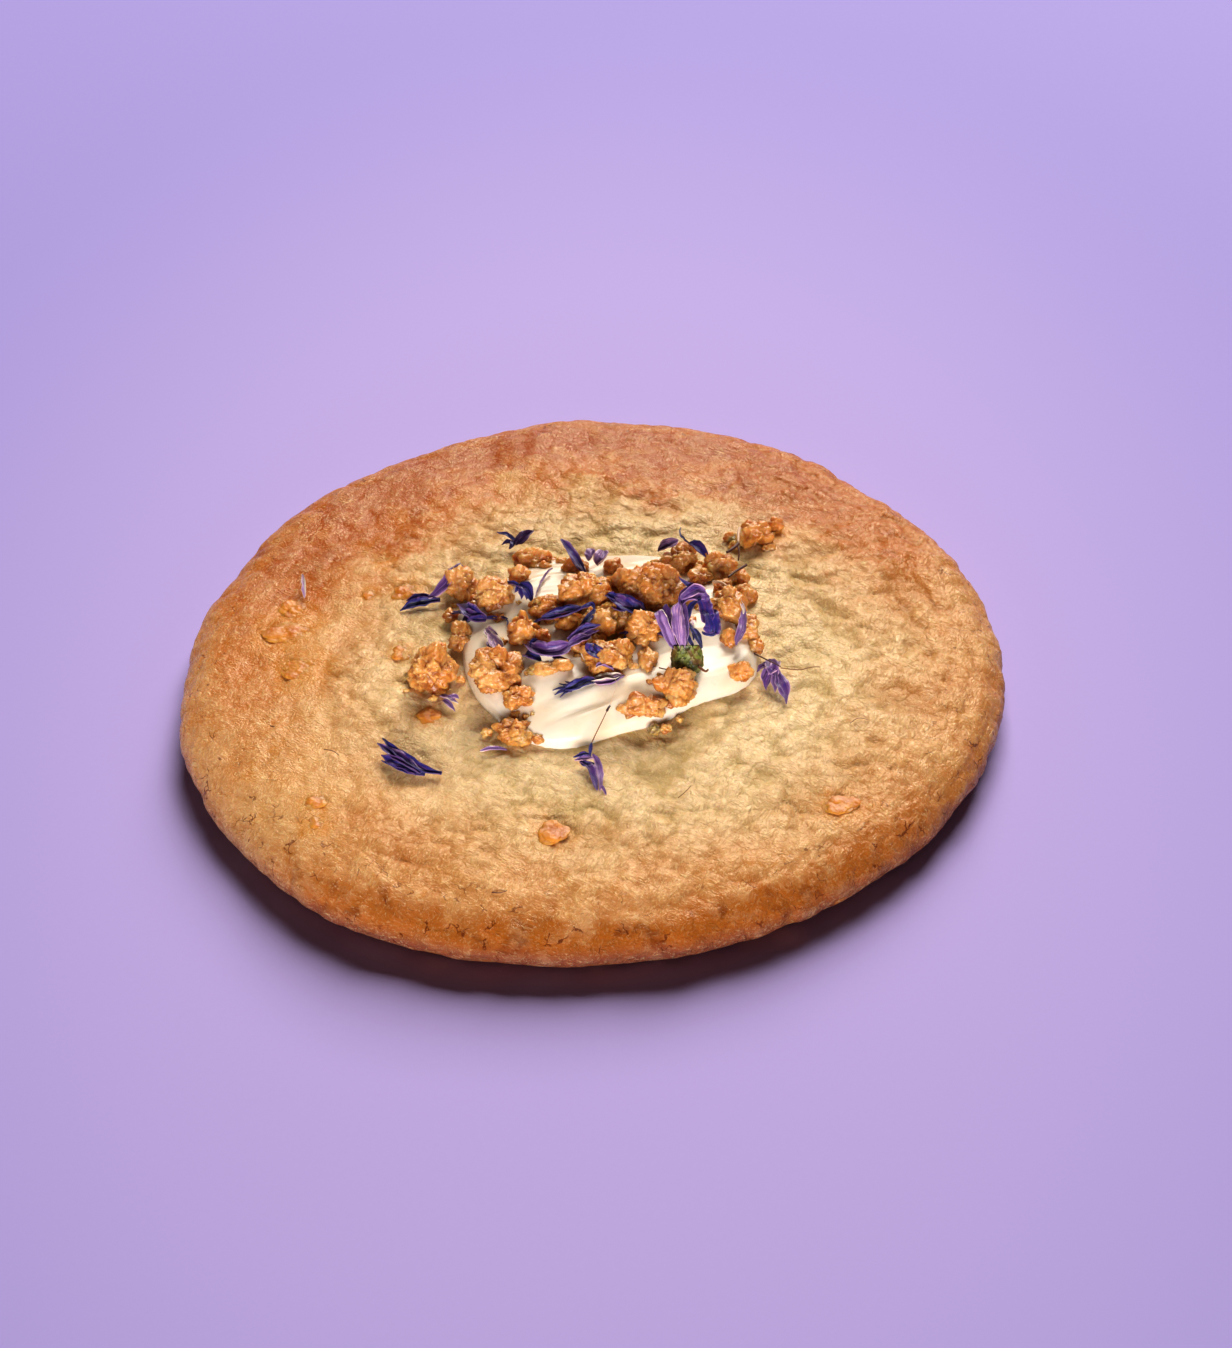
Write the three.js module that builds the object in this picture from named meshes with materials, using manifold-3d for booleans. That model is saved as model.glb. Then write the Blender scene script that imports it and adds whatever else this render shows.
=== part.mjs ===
// A blueberry pie cookie: a thin round biscuit with a browned rim and a pebbled, moist top, a thick
// smear of white cream on it, clumps of soft pastry crumble over the cream and round it, and dried
// cornflower florets with one bud scattered over the whole.
//
// Millimetres, +Z up. The origin is the middle of the flat underside, and the front faces -Y.

import * as THREE from "three";
import { ImprovedNoise } from "three/addons/math/ImprovedNoise.js";
import { mergeVertices } from "three/addons/utils/BufferGeometryUtils.js";
import Module from "manifold-3d";

const wasm = await Module();
wasm.setup();

// ---- Driving dimensions -------------------------------------------------------------------------

const BISCUIT_RADIUS = 55; // at its widest, part way up the rim
const BISCUIT_MIDDLE = 9.4; // thickness at the centre
const SHOULDER_HEIGHT = 8; // where the top turns down into the rim
const RIM_WIDTH = 9; // from the shoulder out to the widest point
const WIDEST_HEIGHT = 3.4;
const FOOT_INSET = 5; // how far inside the widest point the flat underside ends
const PEBBLE = { size: 5.2, height: 0.75 }; // bumps over the top
const DIMPLE = { size: 12, height: 0.5 }; // slower swells under the bumps
// How the rim wanders off a true circle: waves round it, millimetres, phase in radians.
const OUTLINE_WAVES = [
  [3, 0.52, -0.95],
  [4, 0.14, -0.7],
  [8, 0.11, 1.58],
  [10, 0.07, -1.88],
];
const CHIP = { at: [29.9, -46.9, 1.9], size: [2.6, 3, 3] }; // a crumb broken out of the front rim

const CREAM_CENTRE = [2.5, -4];
const CREAM_THICKNESS = 3.6;
// From the cream's centre out to its edge, every 22.5 degrees from +X towards +Y.
const CREAM_REACH = [
  20.2, 19.9, 20.9, 19.6, 18.8, 19.8, 20, 21.3, 19.1, 19.2, 19.7, 20.6, 17.6, 16.6, 16.8, 20.4,
];
const SWIPE_ANGLE = THREE.MathUtils.degToRad(22); // the way the spatula was drawn
const SWIPES = [
  { at: -13.2, width: 2.2, depth: 0.55 },
  { at: -6, width: 3, depth: 0.4 },
  { at: 4, width: 3.4, depth: 0.5 },
];
// Slow swells of the cream's top. Each is a wave along its own direction, in degrees from +X.
const CREAM_SWELLS = [
  { toward: 75, length: 17, height: 0.26, phase: 0.6 },
  { toward: 140, length: 11.5, height: 0.2, phase: 2.1 },
  { toward: 10, length: 13, height: 0.18, phase: 4 },
];
// A shallow lens-shaped dent near the front edge, its long way along the swipes.
const DENT = { at: [-0.4, -18.6], long: 4.6, wide: 1.7, depth: 0.9 };

const GAP = 0.3; // clear space between a piece and what it rests on

// A ball of detail d has 20 (d + 1) squared facets.
const BISCUIT_DETAIL = 13;
const CREAM_DETAIL = 7;

// Clumps of crumble as large as small berries: place of the middle, then width, depth and height.
const CLUMPS = [
  { at: [8.9, 1], size: [9, 7.4, 6.8] },
  { at: [0.2, 1.9], size: [7.4, 6.4, 5.4] },
  { at: [-20.3, -9.3], size: [6.6, 6.4, 8.2] },
  { at: [-11.7, -12.5], size: [7.8, 6.4, 5.4] },
  { at: [2.6, -11.4], size: [6.8, 5.8, 5] },
  { at: [7.9, -6.2], size: [6.2, 4.6, 4.8] },
  { at: [2.2, -3.9], size: [6.4, 5, 4.8] },
  { at: [-4.9, -0.6], size: [6.4, 3.8, 3.8] },
  { at: [11.4, -16.4], size: [5.8, 4.8, 5.8] },
  { at: [18.6, -1.4], size: [5.2, 5, 5] },
  { at: [-12.1, 3], size: [5.6, 5, 4.6] },
  { at: [18.4, 8.8], size: [5.2, 4.6, 5.6] },
  { at: [23.8, 18.6], size: [5.2, 4.2, 4] },
  { at: [-8.4, -4.8], size: [4.8, 4.8, 4.6] },
  { at: [-9.6, -20.6], size: [5.6, 4.2, 4.2] },
  { at: [-16.9, 9.6], size: [5, 4.8, 4.4] },
  { at: [-6.9, 12], size: [6, 3.8, 3.6] },
  { at: [13.2, 10.6], size: [6, 4.2, 4.2] },
  { at: [6.8, -19.2], size: [6.4, 3.4, 3.4] },
];
const PRESSED_IN = 0.2; // share of a clump's height below the surface it lies on

// Smaller crumbs, which are part of what they lie on.
const CREAM_CRUMBS = [
  { at: [-8.9, -16.4], size: [4.8, 4, 3.2] },
  { at: [-5.2, -12.4], size: [4.4, 2.6, 1.8] },
  { at: [7.8, -11.2], size: [2.6, 5, 2.4] },
  { at: [21.2, 5.6], size: [3, 3.4, 3.2] },
  { at: [21.3, -4], size: [3.4, 5, 3.6] },
  { at: [20, -12.4], size: [3.6, 3, 3.2] },
  { at: [-1, 9.2], size: [4.4, 2.6, 2.6] },
  { at: [-16.6, -2.2], size: [3.6, 4.4, 3.6] },
];
const BISCUIT_CRUMBS = [
  { at: [-20.7, -15.2], size: [2.8, 2.4, 2.2] },
  { at: [-24.9, -2.2], size: [2.8, 2.4, 2.2] },
  { at: [-24.5, 10.9], size: [3.6, 2.8, 2.6] },
  { at: [-29.8, 11.1], size: [2, 2.2, 1.8] },
  { at: [-28.1, 17.6], size: [2.3, 2, 1.8] },
  { at: [-40.2, 8.9], size: [3.2, 3, 2.4] },
  { at: [-40.3, 3.8], size: [6.2, 3, 1.8] },
  { at: [-37.5, -4.1], size: [5.6, 3.6, 2] },
  { at: [-34.8, -29.8], size: [2.4, 2, 1.4] },
  { at: [-34.1, -33.6], size: [2.8, 2.4, 1.7] },
  { at: [-5, -37.6], size: [3.4, 3, 1.6] },
  { at: [30.7, -34.7], size: [3.6, 2.4, 1.5] },
  { at: [27, 20.6], size: [3, 2.6, 2.6] },
];

// Cornflower florets: a narrow tube that opens into pointed lobes. In each form, throat is where the lobes
// part along the way, width is a lobe's, and fan is the angle from the first lobe to the last.
const WEDGE = { lobes: 3, width: 1, throat: 0.4, fan: 0.3 };
const CLAW = { lobes: 3, width: 1.15, throat: 0.45, fan: 0.6 };
const FINGERS = { lobes: 4, width: 0.9, throat: 0.58, fan: 0.85 };
const STAR = { lobes: 4, width: 1.3, throat: 0.25, fan: 1.1 };
const SPLAYED = { lobes: 3, width: 1.1, throat: 0.3, fan: 1.5 };
const PAIR = { lobes: 2, width: 1.3, throat: 0.45, fan: 0.5 };
const BLADE = { lobes: 1, width: 1.2, throat: 0.4, fan: 0 };
const FLORETS = [
  { name: "front_left", form: WEDGE, tail: [-18.8, -26.8, 9.4], mouth: [-27, -20.2, 10.1] },
  { name: "front", form: CLAW, tail: [1.4, -32.2, 9.4], mouth: [-1, -25.4, 10.3] },
  { name: "right", form: STAR, tail: [24, -10.4, 11.4], mouth: [25.1, -16.2, 9.7] },
  { name: "left", form: PAIR, tail: [-19.2, 10.8, 12.8], mouth: [-25.2, 6.4, 10.1] },
  { name: "left_corner", form: CLAW, tail: [-10.2, -1.2, 13.7], mouth: [-18.9, 0.4, 13.4] },
  { name: "back_left", form: SPLAYED, tail: [-10.3, 18.6, 10.3], mouth: [-9.6, 23.6, 11.6] },
  { name: "back_spike", form: BLADE, tail: [-3.1, 14.2, 15], mouth: [-0.2, 6.5, 15] },
  { name: "back_right", form: BLADE, tail: [13.6, 15, 15.4], mouth: [17.2, 10, 14.6] },
  { name: "top_left", form: CLAW, tail: [-6.6, 1.8, 14.4], mouth: [-11, 4.6, 15.4] },
  { name: "middle_back", form: WEDGE, tail: [1.8, -1.6, 17.2], mouth: [-7.2, -3.2, 16] },
  { name: "middle_front", form: FINGERS, tail: [-7.8, -8.4, 13.8], mouth: [2.4, -6.6, 16.4] },
  { name: "middle_right", form: CLAW, tail: [10, -6.4, 16.4], mouth: [2.6, -1.2, 17.4] },
  { name: "far_right", form: BLADE, tail: [20.9, 0.4, 15], mouth: [19.2, -8.8, 13.3] },
  { name: "cream_front", form: FINGERS, tail: [5, -15.2, 14], mouth: [-4.8, -16.6, 13.9] },
  { name: "cream_left", form: PAIR, tail: [-13.2, -3.6, 14.2], mouth: [-11.4, -9, 13.7] },
];

// The bud: a green cup of scales standing in the cream and leaning back, with florets out of its top.
const BUD_FOOT = [12.9, -12.9];
const BUD_LEAN = THREE.MathUtils.degToRad(38); // back from upright
const CUP = { length: 4, radius: 1.95 };
// Angle round the cup, outward lean at the root, length, bend towards the tip in radians, width.
const BUD_FLORETS = [
  { turn: 200, spread: 20, length: 7.4, curl: 0.3, width: 1.6 },
  { turn: 255, spread: 4, length: 7, curl: 0.4, width: 1.9 },
  { turn: 95, spread: 4, length: 7.6, curl: -0.3, width: 1.4 },
  { turn: -20, spread: -18, length: 12, curl: 3.9, width: 2.8 },
];
const PETAL_THICKNESS = 0.5;

// ---- Shared tools -------------------------------------------------------------------------------

const noise = new ImprovedNoise();

function ripple(x, y, z, size) {
  return noise.noise(x / size, y / size, z / size);
}

function smoothstep(low, high, value) {
  return THREE.MathUtils.smoothstep(value, low, high);
}

// The same stream of draws from the same seed.
function draws(seed) {
  let state = seed * 2654435761 + 97;
  return () => {
    state = (Math.imul(state ^ (state >>> 15), 2246822519) + 374761393) >>> 0;
    return state / 4294967296;
  };
}

// A closed three.js geometry as a solid that can be joined and cut.
function solidOf(geometry) {
  const bare = geometry.index ? geometry.toNonIndexed() : geometry.clone();
  bare.deleteAttribute("normal");
  bare.deleteAttribute("uv");
  const merged = mergeVertices(bare, 1e-4);
  return new wasm.Manifold(
    new wasm.Mesh({
      numProp: 3,
      vertProperties: merged.attributes.position.array,
      triVerts: new Uint32Array(merged.index.array),
    }),
  );
}

function geometryOf(solid) {
  const { numProp, vertProperties, triVerts, numVert } = solid.getMesh();
  const at = new Float32Array(numVert * 3);
  for (let i = 0; i < numVert; i++) {
    at.set(vertProperties.subarray(i * numProp, i * numProp + 3), i * 3);
  }
  const geometry = new THREE.BufferGeometry();
  geometry.setAttribute("position", new THREE.BufferAttribute(at, 3));
  geometry.setIndex(new THREE.BufferAttribute(new Uint32Array(triVerts), 1));
  geometry.computeVertexNormals();
  return geometry;
}

// The largest of the pieces that a cut leaves.
function largest(solid) {
  return solid.decompose().sort((a, b) => b.volume() - a.volume())[0];
}

// A faceted ball whose every direction is sent to a point of the form.
function bentBall(detail, place) {
  const ball = new THREE.IcosahedronGeometry(1, detail);
  ball.deleteAttribute("normal");
  ball.deleteAttribute("uv");
  const geometry = mergeVertices(ball, 1e-4);
  const at = geometry.attributes.position;
  const direction = new THREE.Vector3();
  const point = new THREE.Vector3();
  for (let i = 0; i < at.count; i++) {
    place(direction.fromBufferAttribute(at, i), point);
    at.setXYZ(i, point.x, point.y, point.z);
  }
  return geometry;
}

// ---- Biscuit ------------------------------------------------------------------------------------

const SHOULDER_RADIUS = BISCUIT_RADIUS - RIM_WIDTH;

function outlineWave(angle) {
  let sum = 0;
  for (const [count, size, phase] of OUTLINE_WAVES) {
    sum += size * Math.cos(count * angle - phase);
  }
  return sum;
}

// Height of the biscuit's smooth top, without its bumps.
function biscuitTop(x, y) {
  const r = Math.hypot(x, y) - outlineWave(Math.atan2(y, x));
  if (r <= SHOULDER_RADIUS) {
    return BISCUIT_MIDDLE - (BISCUIT_MIDDLE - SHOULDER_HEIGHT) * (r / SHOULDER_RADIUS) ** 2;
  }
  const out = Math.min(1, (r - SHOULDER_RADIUS) / RIM_WIDTH);
  return WIDEST_HEIGHT + (SHOULDER_HEIGHT - WIDEST_HEIGHT) * Math.sqrt(1 - out * out);
}

// The section from the middle of the top, over the rim and back along the underside.
function biscuitSection() {
  const rimRise = SHOULDER_HEIGHT - WIDEST_HEIGHT;
  const footRadius = BISCUIT_RADIUS - FOOT_INSET;
  return new THREE.Path()
    .moveTo(0, BISCUIT_MIDDLE)
    .quadraticCurveTo(SHOULDER_RADIUS / 2, BISCUIT_MIDDLE, SHOULDER_RADIUS, SHOULDER_HEIGHT)
    .absellipse(SHOULDER_RADIUS, WIDEST_HEIGHT, RIM_WIDTH, rimRise, Math.PI / 2, 0, true)
    .absellipse(footRadius, WIDEST_HEIGHT, FOOT_INSET, WIDEST_HEIGHT, 0, -Math.PI / 2, true)
    .lineTo(0, 0);
}

// Wraps a ball of facets round the section, with facets of one size on top and coarse ones beneath.
function biscuitForm() {
  const STEPS = 400;
  const COARSE_BENEATH = 0.1;
  const section = biscuitSection().getSpacedPoints(STEPS);
  const share = [0];
  for (let i = 1; i <= STEPS; i++) {
    const beneath = section[i].y < 1e-6 ? COARSE_BENEATH : 1;
    const band = section[i].distanceTo(section[i - 1]) * (section[i].x + section[i - 1].x) * beneath;
    share.push(share[i - 1] + band);
  }
  return bentBall(BISCUIT_DETAIL, (direction, point) => {
    const wanted = ((1 - direction.z) / 2) * share[STEPS];
    let i = share.findIndex((s) => s >= wanted);
    i = THREE.MathUtils.clamp(i, 1, STEPS);
    const along = (wanted - share[i - 1]) / (share[i] - share[i - 1]);
    const on = section[i - 1].clone().lerp(section[i], along);
    const tangent = section[i].clone().sub(section[i - 1]).normalize();
    const angle = Math.atan2(direction.y, direction.x);
    const wave = outlineWave(angle) * smoothstep(0, SHOULDER_RADIUS, on.x);
    const x = on.x * Math.cos(angle);
    const y = on.x * Math.sin(angle);
    const bump = biscuitBump(x, y, on.y);
    const r = on.x + wave - tangent.y * bump;
    point.set(r * Math.cos(angle), r * Math.sin(angle), on.y + tangent.x * bump);
  });
}

// Pebbled relief, which fades out under the cream and towards the underside.
function biscuitBump(x, y, z) {
  const beyondCream = smoothstep(1.04, 1.18, creamShare(x, y));
  const aboveFoot = smoothstep(0.3, 3, z);
  const pebbles = PEBBLE.height * ripple(x, y, z + 40, PEBBLE.size);
  const swells = DIMPLE.height * ripple(x, y, z + 90, DIMPLE.size);
  return (pebbles + swells) * beyondCream * aboveFoot;
}

// ---- Cream --------------------------------------------------------------------------------------

// The edge's distance from the cream's centre, smooth through the listed ones.
function creamReach(angle) {
  const count = CREAM_REACH.length;
  const turn = ((angle / (2 * Math.PI)) * count + count) % count;
  const i = Math.floor(turn);
  const t = turn - i;
  const [a, b, c, d] = [-1, 0, 1, 2].map((k) => CREAM_REACH[(i + k + count) % count]);
  return b + 0.5 * t * (c - a + t * (2 * a - 5 * b + 4 * c - d + t * (3 * (b - c) + d - a)));
}

// 0 at the cream's centre and 1 at its edge.
function creamShare(x, y) {
  const dx = x - CREAM_CENTRE[0];
  const dy = y - CREAM_CENTRE[1];
  return Math.hypot(dx, dy) / creamReach(Math.atan2(dy, dx));
}

// How far a place is along the swipes, and across them.
function alongSwipes(x, y) {
  const cos = Math.cos(SWIPE_ANGLE);
  const sin = Math.sin(SWIPE_ANGLE);
  return [x * cos + y * sin, y * cos - x * sin];
}

function creamThickness(x, y) {
  const share = creamShare(x, y);
  if (share >= 1) return 0;
  const [along, across] = alongSwipes(x, y);
  let slab = CREAM_THICKNESS;
  for (const { at, width, depth } of SWIPES) {
    slab -= depth * Math.exp(-(((across - at) / width) ** 2));
  }
  for (const { toward, length, height, phase } of CREAM_SWELLS) {
    const angle = THREE.MathUtils.degToRad(toward);
    const way = x * Math.cos(angle) + y * Math.sin(angle);
    slab += height * Math.sin((2 * Math.PI * way) / length + phase);
  }
  const [dentAlong, dentAcross] = alongSwipes(...DENT.at);
  const apart = ((along - dentAlong) / DENT.long) ** 2 + ((across - dentAcross) / DENT.wide) ** 2;
  slab -= DENT.depth * Math.exp(-apart);
  return slab * Math.sqrt(1 - share ** 4.5);
}

// The cream, or with grow the space that other pieces keep out of. Most facets are on top.
function creamForm(grow = 0) {
  const BENEATH = 0.2;
  return bentBall(CREAM_DETAIL, (direction, point) => {
    const down = (1 - direction.z) / 2;
    const onTop = down <= 1 - BENEATH;
    const share = Math.sqrt(onTop ? down / (1 - BENEATH) : (1 - down) / BENEATH);
    const angle = Math.atan2(direction.y, direction.x);
    const reach = (creamReach(angle) + grow) * share;
    const x = CREAM_CENTRE[0] + reach * Math.cos(angle);
    const y = CREAM_CENTRE[1] + reach * Math.sin(angle);
    const seat = biscuitTop(x, y) + GAP;
    point.set(x, y, onTop ? seat + creamThickness(x, y) + grow : seat - 3 * grow);
  });
}

function surfaceHeight(x, y) {
  return biscuitTop(x, y) + creamThickness(x, y);
}

// ---- Crumble ------------------------------------------------------------------------------------

const KNOBS = 11;
const GOLDEN_ANGLE = Math.PI * (3 - Math.sqrt(5));

// A lump of balls grown together. Its middle sees each ball whole, so one reach per direction draws it.
function lump([x, y, z], size, seed, detail, grow = 0) {
  const draw = draws(seed);
  const knobs = [];
  for (let i = 0; i < KNOBS; i++) {
    const up = 1 - (2 * i + 1) / KNOBS;
    const angle = i * GOLDEN_ANGLE + seed;
    const flat = Math.sqrt(1 - up * up);
    const centre = new THREE.Vector3(flat * Math.cos(angle), flat * Math.sin(angle), up);
    knobs.push({ centre: centre.multiplyScalar(0.4 + 0.22 * draw()), radius: 0.38 + 0.14 * draw() });
  }
  const half = new THREE.Vector3(...size).multiplyScalar(0.5);
  const form = bentBall(detail, (direction, point) => {
    let reach = 0.6;
    for (const { centre, radius } of knobs) {
      const near = direction.dot(centre);
      const root = near * near - centre.lengthSq() + radius * radius;
      if (root > 0) reach = Math.max(reach, near + Math.sqrt(root));
    }
    point.copy(direction).multiplyScalar(reach).multiply(half);
    point.addScaledVector(direction, grow);
  });
  return solidOf(form.translate(x, y, z));
}

function clump({ at: [x, y], size }, seed, grow = 0) {
  const z = surfaceHeight(x, y) + size[2] * (0.5 - PRESSED_IN);
  const LARGE = 5.5;
  return lump([x, y, z], size, seed, size[0] > LARGE ? 2 : 1, grow);
}

function crumb({ at: [x, y], size }, seed) {
  const LARGE = 3.3;
  return lump([x, y, surfaceHeight(x, y) + size[2] * 0.25], size, seed, size[0] > LARGE ? 1 : 0);
}

// ---- Cornflower ---------------------------------------------------------------------------------

// A thin strip along +X that swells, narrows again to its tip and bends upwards more and more.
function petalStrip(length, width, curl, steps, grow = 0) {
  const strip = new THREE.BoxGeometry(1, 1, 1, steps, 1, 1);
  const middle = [[0, 0]];
  for (let i = 0; i < steps; i++) {
    const angle = curl * ((i + 0.5) / steps) ** 2;
    const [x, z] = middle[i];
    middle.push([x + (length / steps) * Math.cos(angle), z + (length / steps) * Math.sin(angle)]);
  }
  const at = strip.attributes.position;
  for (let i = 0; i < at.count; i++) {
    const along = at.getX(i) + 0.5;
    const [x, z] = middle[Math.round(along * steps)];
    const angle = curl * along ** 2;
    const beside = at.getY(i) * (width * (0.3 + 0.7 * Math.sin(Math.PI * along ** 0.8)) + 2 * grow);
    const above = at.getZ(i) * (PETAL_THICKNESS + 2 * grow);
    const ahead = (along === 0 ? -grow : 0) + (along === 1 ? grow : 0);
    at.setXYZ(
      i,
      x - above * Math.sin(angle) + ahead * Math.cos(angle),
      beside,
      z + above * Math.cos(angle) + ahead * Math.sin(angle),
    );
  }
  return strip;
}

// A neck from the tail past the throat, with lobes fanned out of it to the mouth.
function floret({ tail, mouth, form }, grow = 0) {
  const { lobes, width, throat, fan } = form;
  const from = new THREE.Vector3(...tail);
  const to = new THREE.Vector3(...mouth);
  const length = from.distanceTo(to);
  let made = solidOf(petalStrip(length * (throat + 0.2), width * (0.7 + 0.12 * lobes), 0.1, 2, grow));
  for (let i = 0; i < lobes; i++) {
    const side = lobes > 1 ? i / (lobes - 1) - 0.5 : 0;
    const lobe = petalStrip(length * (1 - throat) * (1 - 0.2 * Math.abs(side)), width, 0.4, 2, grow);
    lobe.rotateZ(side * fan);
    lobe.translate(length * throat, side * width * 0.8, 0.2 * (i % 2));
    made = made.add(solidOf(lobe));
  }
  const ahead = to.clone().sub(from).normalize();
  const aside = new THREE.Vector3(0, 0, 1).cross(ahead).normalize();
  const frame = new THREE.Matrix4().makeBasis(ahead, aside, ahead.clone().cross(aside)).setPosition(from);
  return made.transform(frame.elements);
}

function bud(grow = 0) {
  const { length, radius } = CUP;
  const outline = [
    [0, -grow],
    [radius * 0.8 + grow, -grow],
    [radius + grow, length * 0.35],
    [radius * 0.95 + grow, length * 0.7],
    [radius * 0.7 + grow, length + grow],
    [0, length + grow],
  ].map(([r, z]) => new THREE.Vector2(r, z));
  let made = solidOf(new THREE.LatheGeometry(outline, 14).rotateX(Math.PI / 2));
  for (const petal of BUD_FLORETS) {
    const strip = petalStrip(petal.length, petal.width, petal.curl, 6, grow).rotateX(Math.PI);
    strip.rotateY(THREE.MathUtils.degToRad(petal.spread) - Math.PI / 2);
    strip.translate(radius * 0.45, 0, length - 1);
    strip.rotateZ(THREE.MathUtils.degToRad(petal.turn));
    made = made.add(solidOf(strip));
  }
  const [x, y] = BUD_FOOT;
  const frame = new THREE.Matrix4().makeRotationX(-BUD_LEAN);
  return made.transform(frame.setPosition(x, y, surfaceHeight(x, y) + 0.1).elements);
}

// ---- Assembly -----------------------------------------------------------------------------------

const MATERIALS = {
  biscuit: new THREE.MeshStandardMaterial({ color: 0xd9a066, roughness: 0.55, metalness: 0 }),
  cream: new THREE.MeshStandardMaterial({ color: 0xf7ecd6, roughness: 0.3, metalness: 0 }),
  crumble: new THREE.MeshStandardMaterial({ color: 0xc27a33, roughness: 0.5, metalness: 0 }),
  cornflower: new THREE.MeshStandardMaterial({ color: 0x3c3280, roughness: 0.6, metalness: 0 }),
  bud: new THREE.MeshStandardMaterial({ color: 0x4d5a24, roughness: 0.7, metalness: 0 }),
};

const cookie = new THREE.Group();

function addNode(name, solid, material) {
  const mesh = new THREE.Mesh(geometryOf(solid), MATERIALS[material]);
  mesh.name = name;
  cookie.add(mesh);
}

// What is already in place, each grown by the gap that later pieces keep to it.
const taken = [];
function cutClear(solid) {
  return largest(taken.reduce((left, other) => left.subtract(other), solid));
}

const biscuitBody = solidOf(biscuitForm());
const creamBody = solidOf(creamForm());
taken.push(biscuitBody.translate([0, 0, GAP]), solidOf(creamForm(GAP)));

const FIRST_SEED = { biscuitCrumbs: 1, creamCrumbs: 31, clumps: 61 };
CLUMPS.forEach((each, i) => {
  const seed = FIRST_SEED.clumps + i;
  addNode(`crumble_${i + 1}`, cutClear(clump(each, seed)), "crumble");
  taken.push(clump(each, seed, GAP));
});

addNode("bud", cutClear(bud()), "bud");
taken.push(bud(GAP));

FLORETS.forEach((each) => {
  addNode(`floret_${each.name}`, cutClear(floret(each)), "cornflower");
  taken.push(floret(each, GAP));
});

// The fused crumbs come last, cut clear of every loose piece and of the body they don't belong to.
const loosePieces = taken.slice(2);
function withCrumbs(body, crumbs, firstSeed, otherBody) {
  let whole = body;
  crumbs.forEach((each, i) => {
    const clear = [...loosePieces, otherBody];
    whole = whole.add(clear.reduce((left, other) => left.subtract(other), crumb(each, firstSeed + i)));
  });
  return largest(whole);
}

const chipped = biscuitBody.subtract(lump(CHIP.at, CHIP.size, 5, 1));
addNode("biscuit", withCrumbs(chipped, BISCUIT_CRUMBS, FIRST_SEED.biscuitCrumbs, taken[1]), "biscuit");
addNode("cream", withCrumbs(creamBody, CREAM_CRUMBS, FIRST_SEED.creamCrumbs, taken[0]), "cream");

export default cookie;
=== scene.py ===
"""A blueberry pie cookie: a thin round biscuit with a browned rim and a pebbled, moist top, a thick
smear of white cream on it, clumps of soft pastry crumble, and dried cornflower florets with one bud.

Shapes are worked out in millimetres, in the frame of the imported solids, and scaled to metres at the end.
"""

import math
import random

import bmesh
import bpy
from mathutils import Matrix, Vector, noise


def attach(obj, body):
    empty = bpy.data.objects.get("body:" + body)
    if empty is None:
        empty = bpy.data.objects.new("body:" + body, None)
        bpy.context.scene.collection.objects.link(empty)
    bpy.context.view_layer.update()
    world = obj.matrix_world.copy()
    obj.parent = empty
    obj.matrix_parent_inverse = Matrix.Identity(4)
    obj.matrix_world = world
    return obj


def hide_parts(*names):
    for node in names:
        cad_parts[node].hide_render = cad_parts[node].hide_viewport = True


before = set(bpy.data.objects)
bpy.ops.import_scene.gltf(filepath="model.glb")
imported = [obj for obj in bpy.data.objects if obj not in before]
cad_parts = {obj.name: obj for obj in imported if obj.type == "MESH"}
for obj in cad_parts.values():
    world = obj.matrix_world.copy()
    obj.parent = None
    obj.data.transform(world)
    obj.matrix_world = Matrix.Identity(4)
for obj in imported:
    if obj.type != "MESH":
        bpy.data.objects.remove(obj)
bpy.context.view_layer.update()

# ---- Biscuit ------------------------------------------------------------------------------------
# One thin round of soft dough, baked flat on a sheet until its rim has browned. The middle stays pale,
# moist and pebbled; outwards the crust is a finely wrinkled skin that shines a little with butter.

BISCUIT_RADIUS = 55
BISCUIT_MIDDLE = 9.4
SHOULDER_HEIGHT = 8
RIM_WIDTH = 9
WIDEST_HEIGHT = 3.4
FOOT_INSET = 5
SHOULDER_RADIUS = BISCUIT_RADIUS - RIM_WIDTH
# Waves of the outline: how many round the rim, how deep, and where they start, in radians.
OUTLINE_WAVES = ((3, 0.52, -0.95), (4, 0.14, -0.7), (8, 0.11, 1.58), (10, 0.07, -1.88))
# A chip in the rim: its middle, its radius, how far it is pressed in, and how raised its floor is.
CHIP = {"at": Vector((29.9, -46.9, 1.9)), "radius": 1.5, "pressed": 1.3, "raised": 0.2}
BISCUIT_CUTS = 93  # extra points along each edge of the first ball
SECTION_STEPS = 150  # along each of the four parts of the biscuit's section
COARSE_BENEATH = 0.1  # the underside gets this share of the facets that the top would

SWELLS = {"size": 11, "height": 0.7}
LUMPS = {"size": 3.5, "height": 0.92}
PEBBLES = {"size": 1.8, "height": 0.28}
GRAINS = {"size": 1.0, "height": 0.1}
PITTED_TOWARDS = math.radians(-35)  # the side, from +X, where the pebbles stand out most
BUMP_SEED = 5
noise.seed_set(BUMP_SEED)  # or the bends that noise_vector gives would be new in every run
# How brown the top is at each angle, every 30 degrees from +X: a band at the back, none in front.
BROWN_BAND = (0.05, 0.6, 0.9, 1, 1, 0.8, 0.4, 0.1, 0, 0, 0, 0.05)
# How toasted the outermost rim is, in the same way: golden orange in front.
TOASTED_RIM = (0.15, 0.3, 0.5, 0.5, 0.5, 0.4, 0.15, 0.25, 0.75, 1, 0.9, 0.45)

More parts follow.
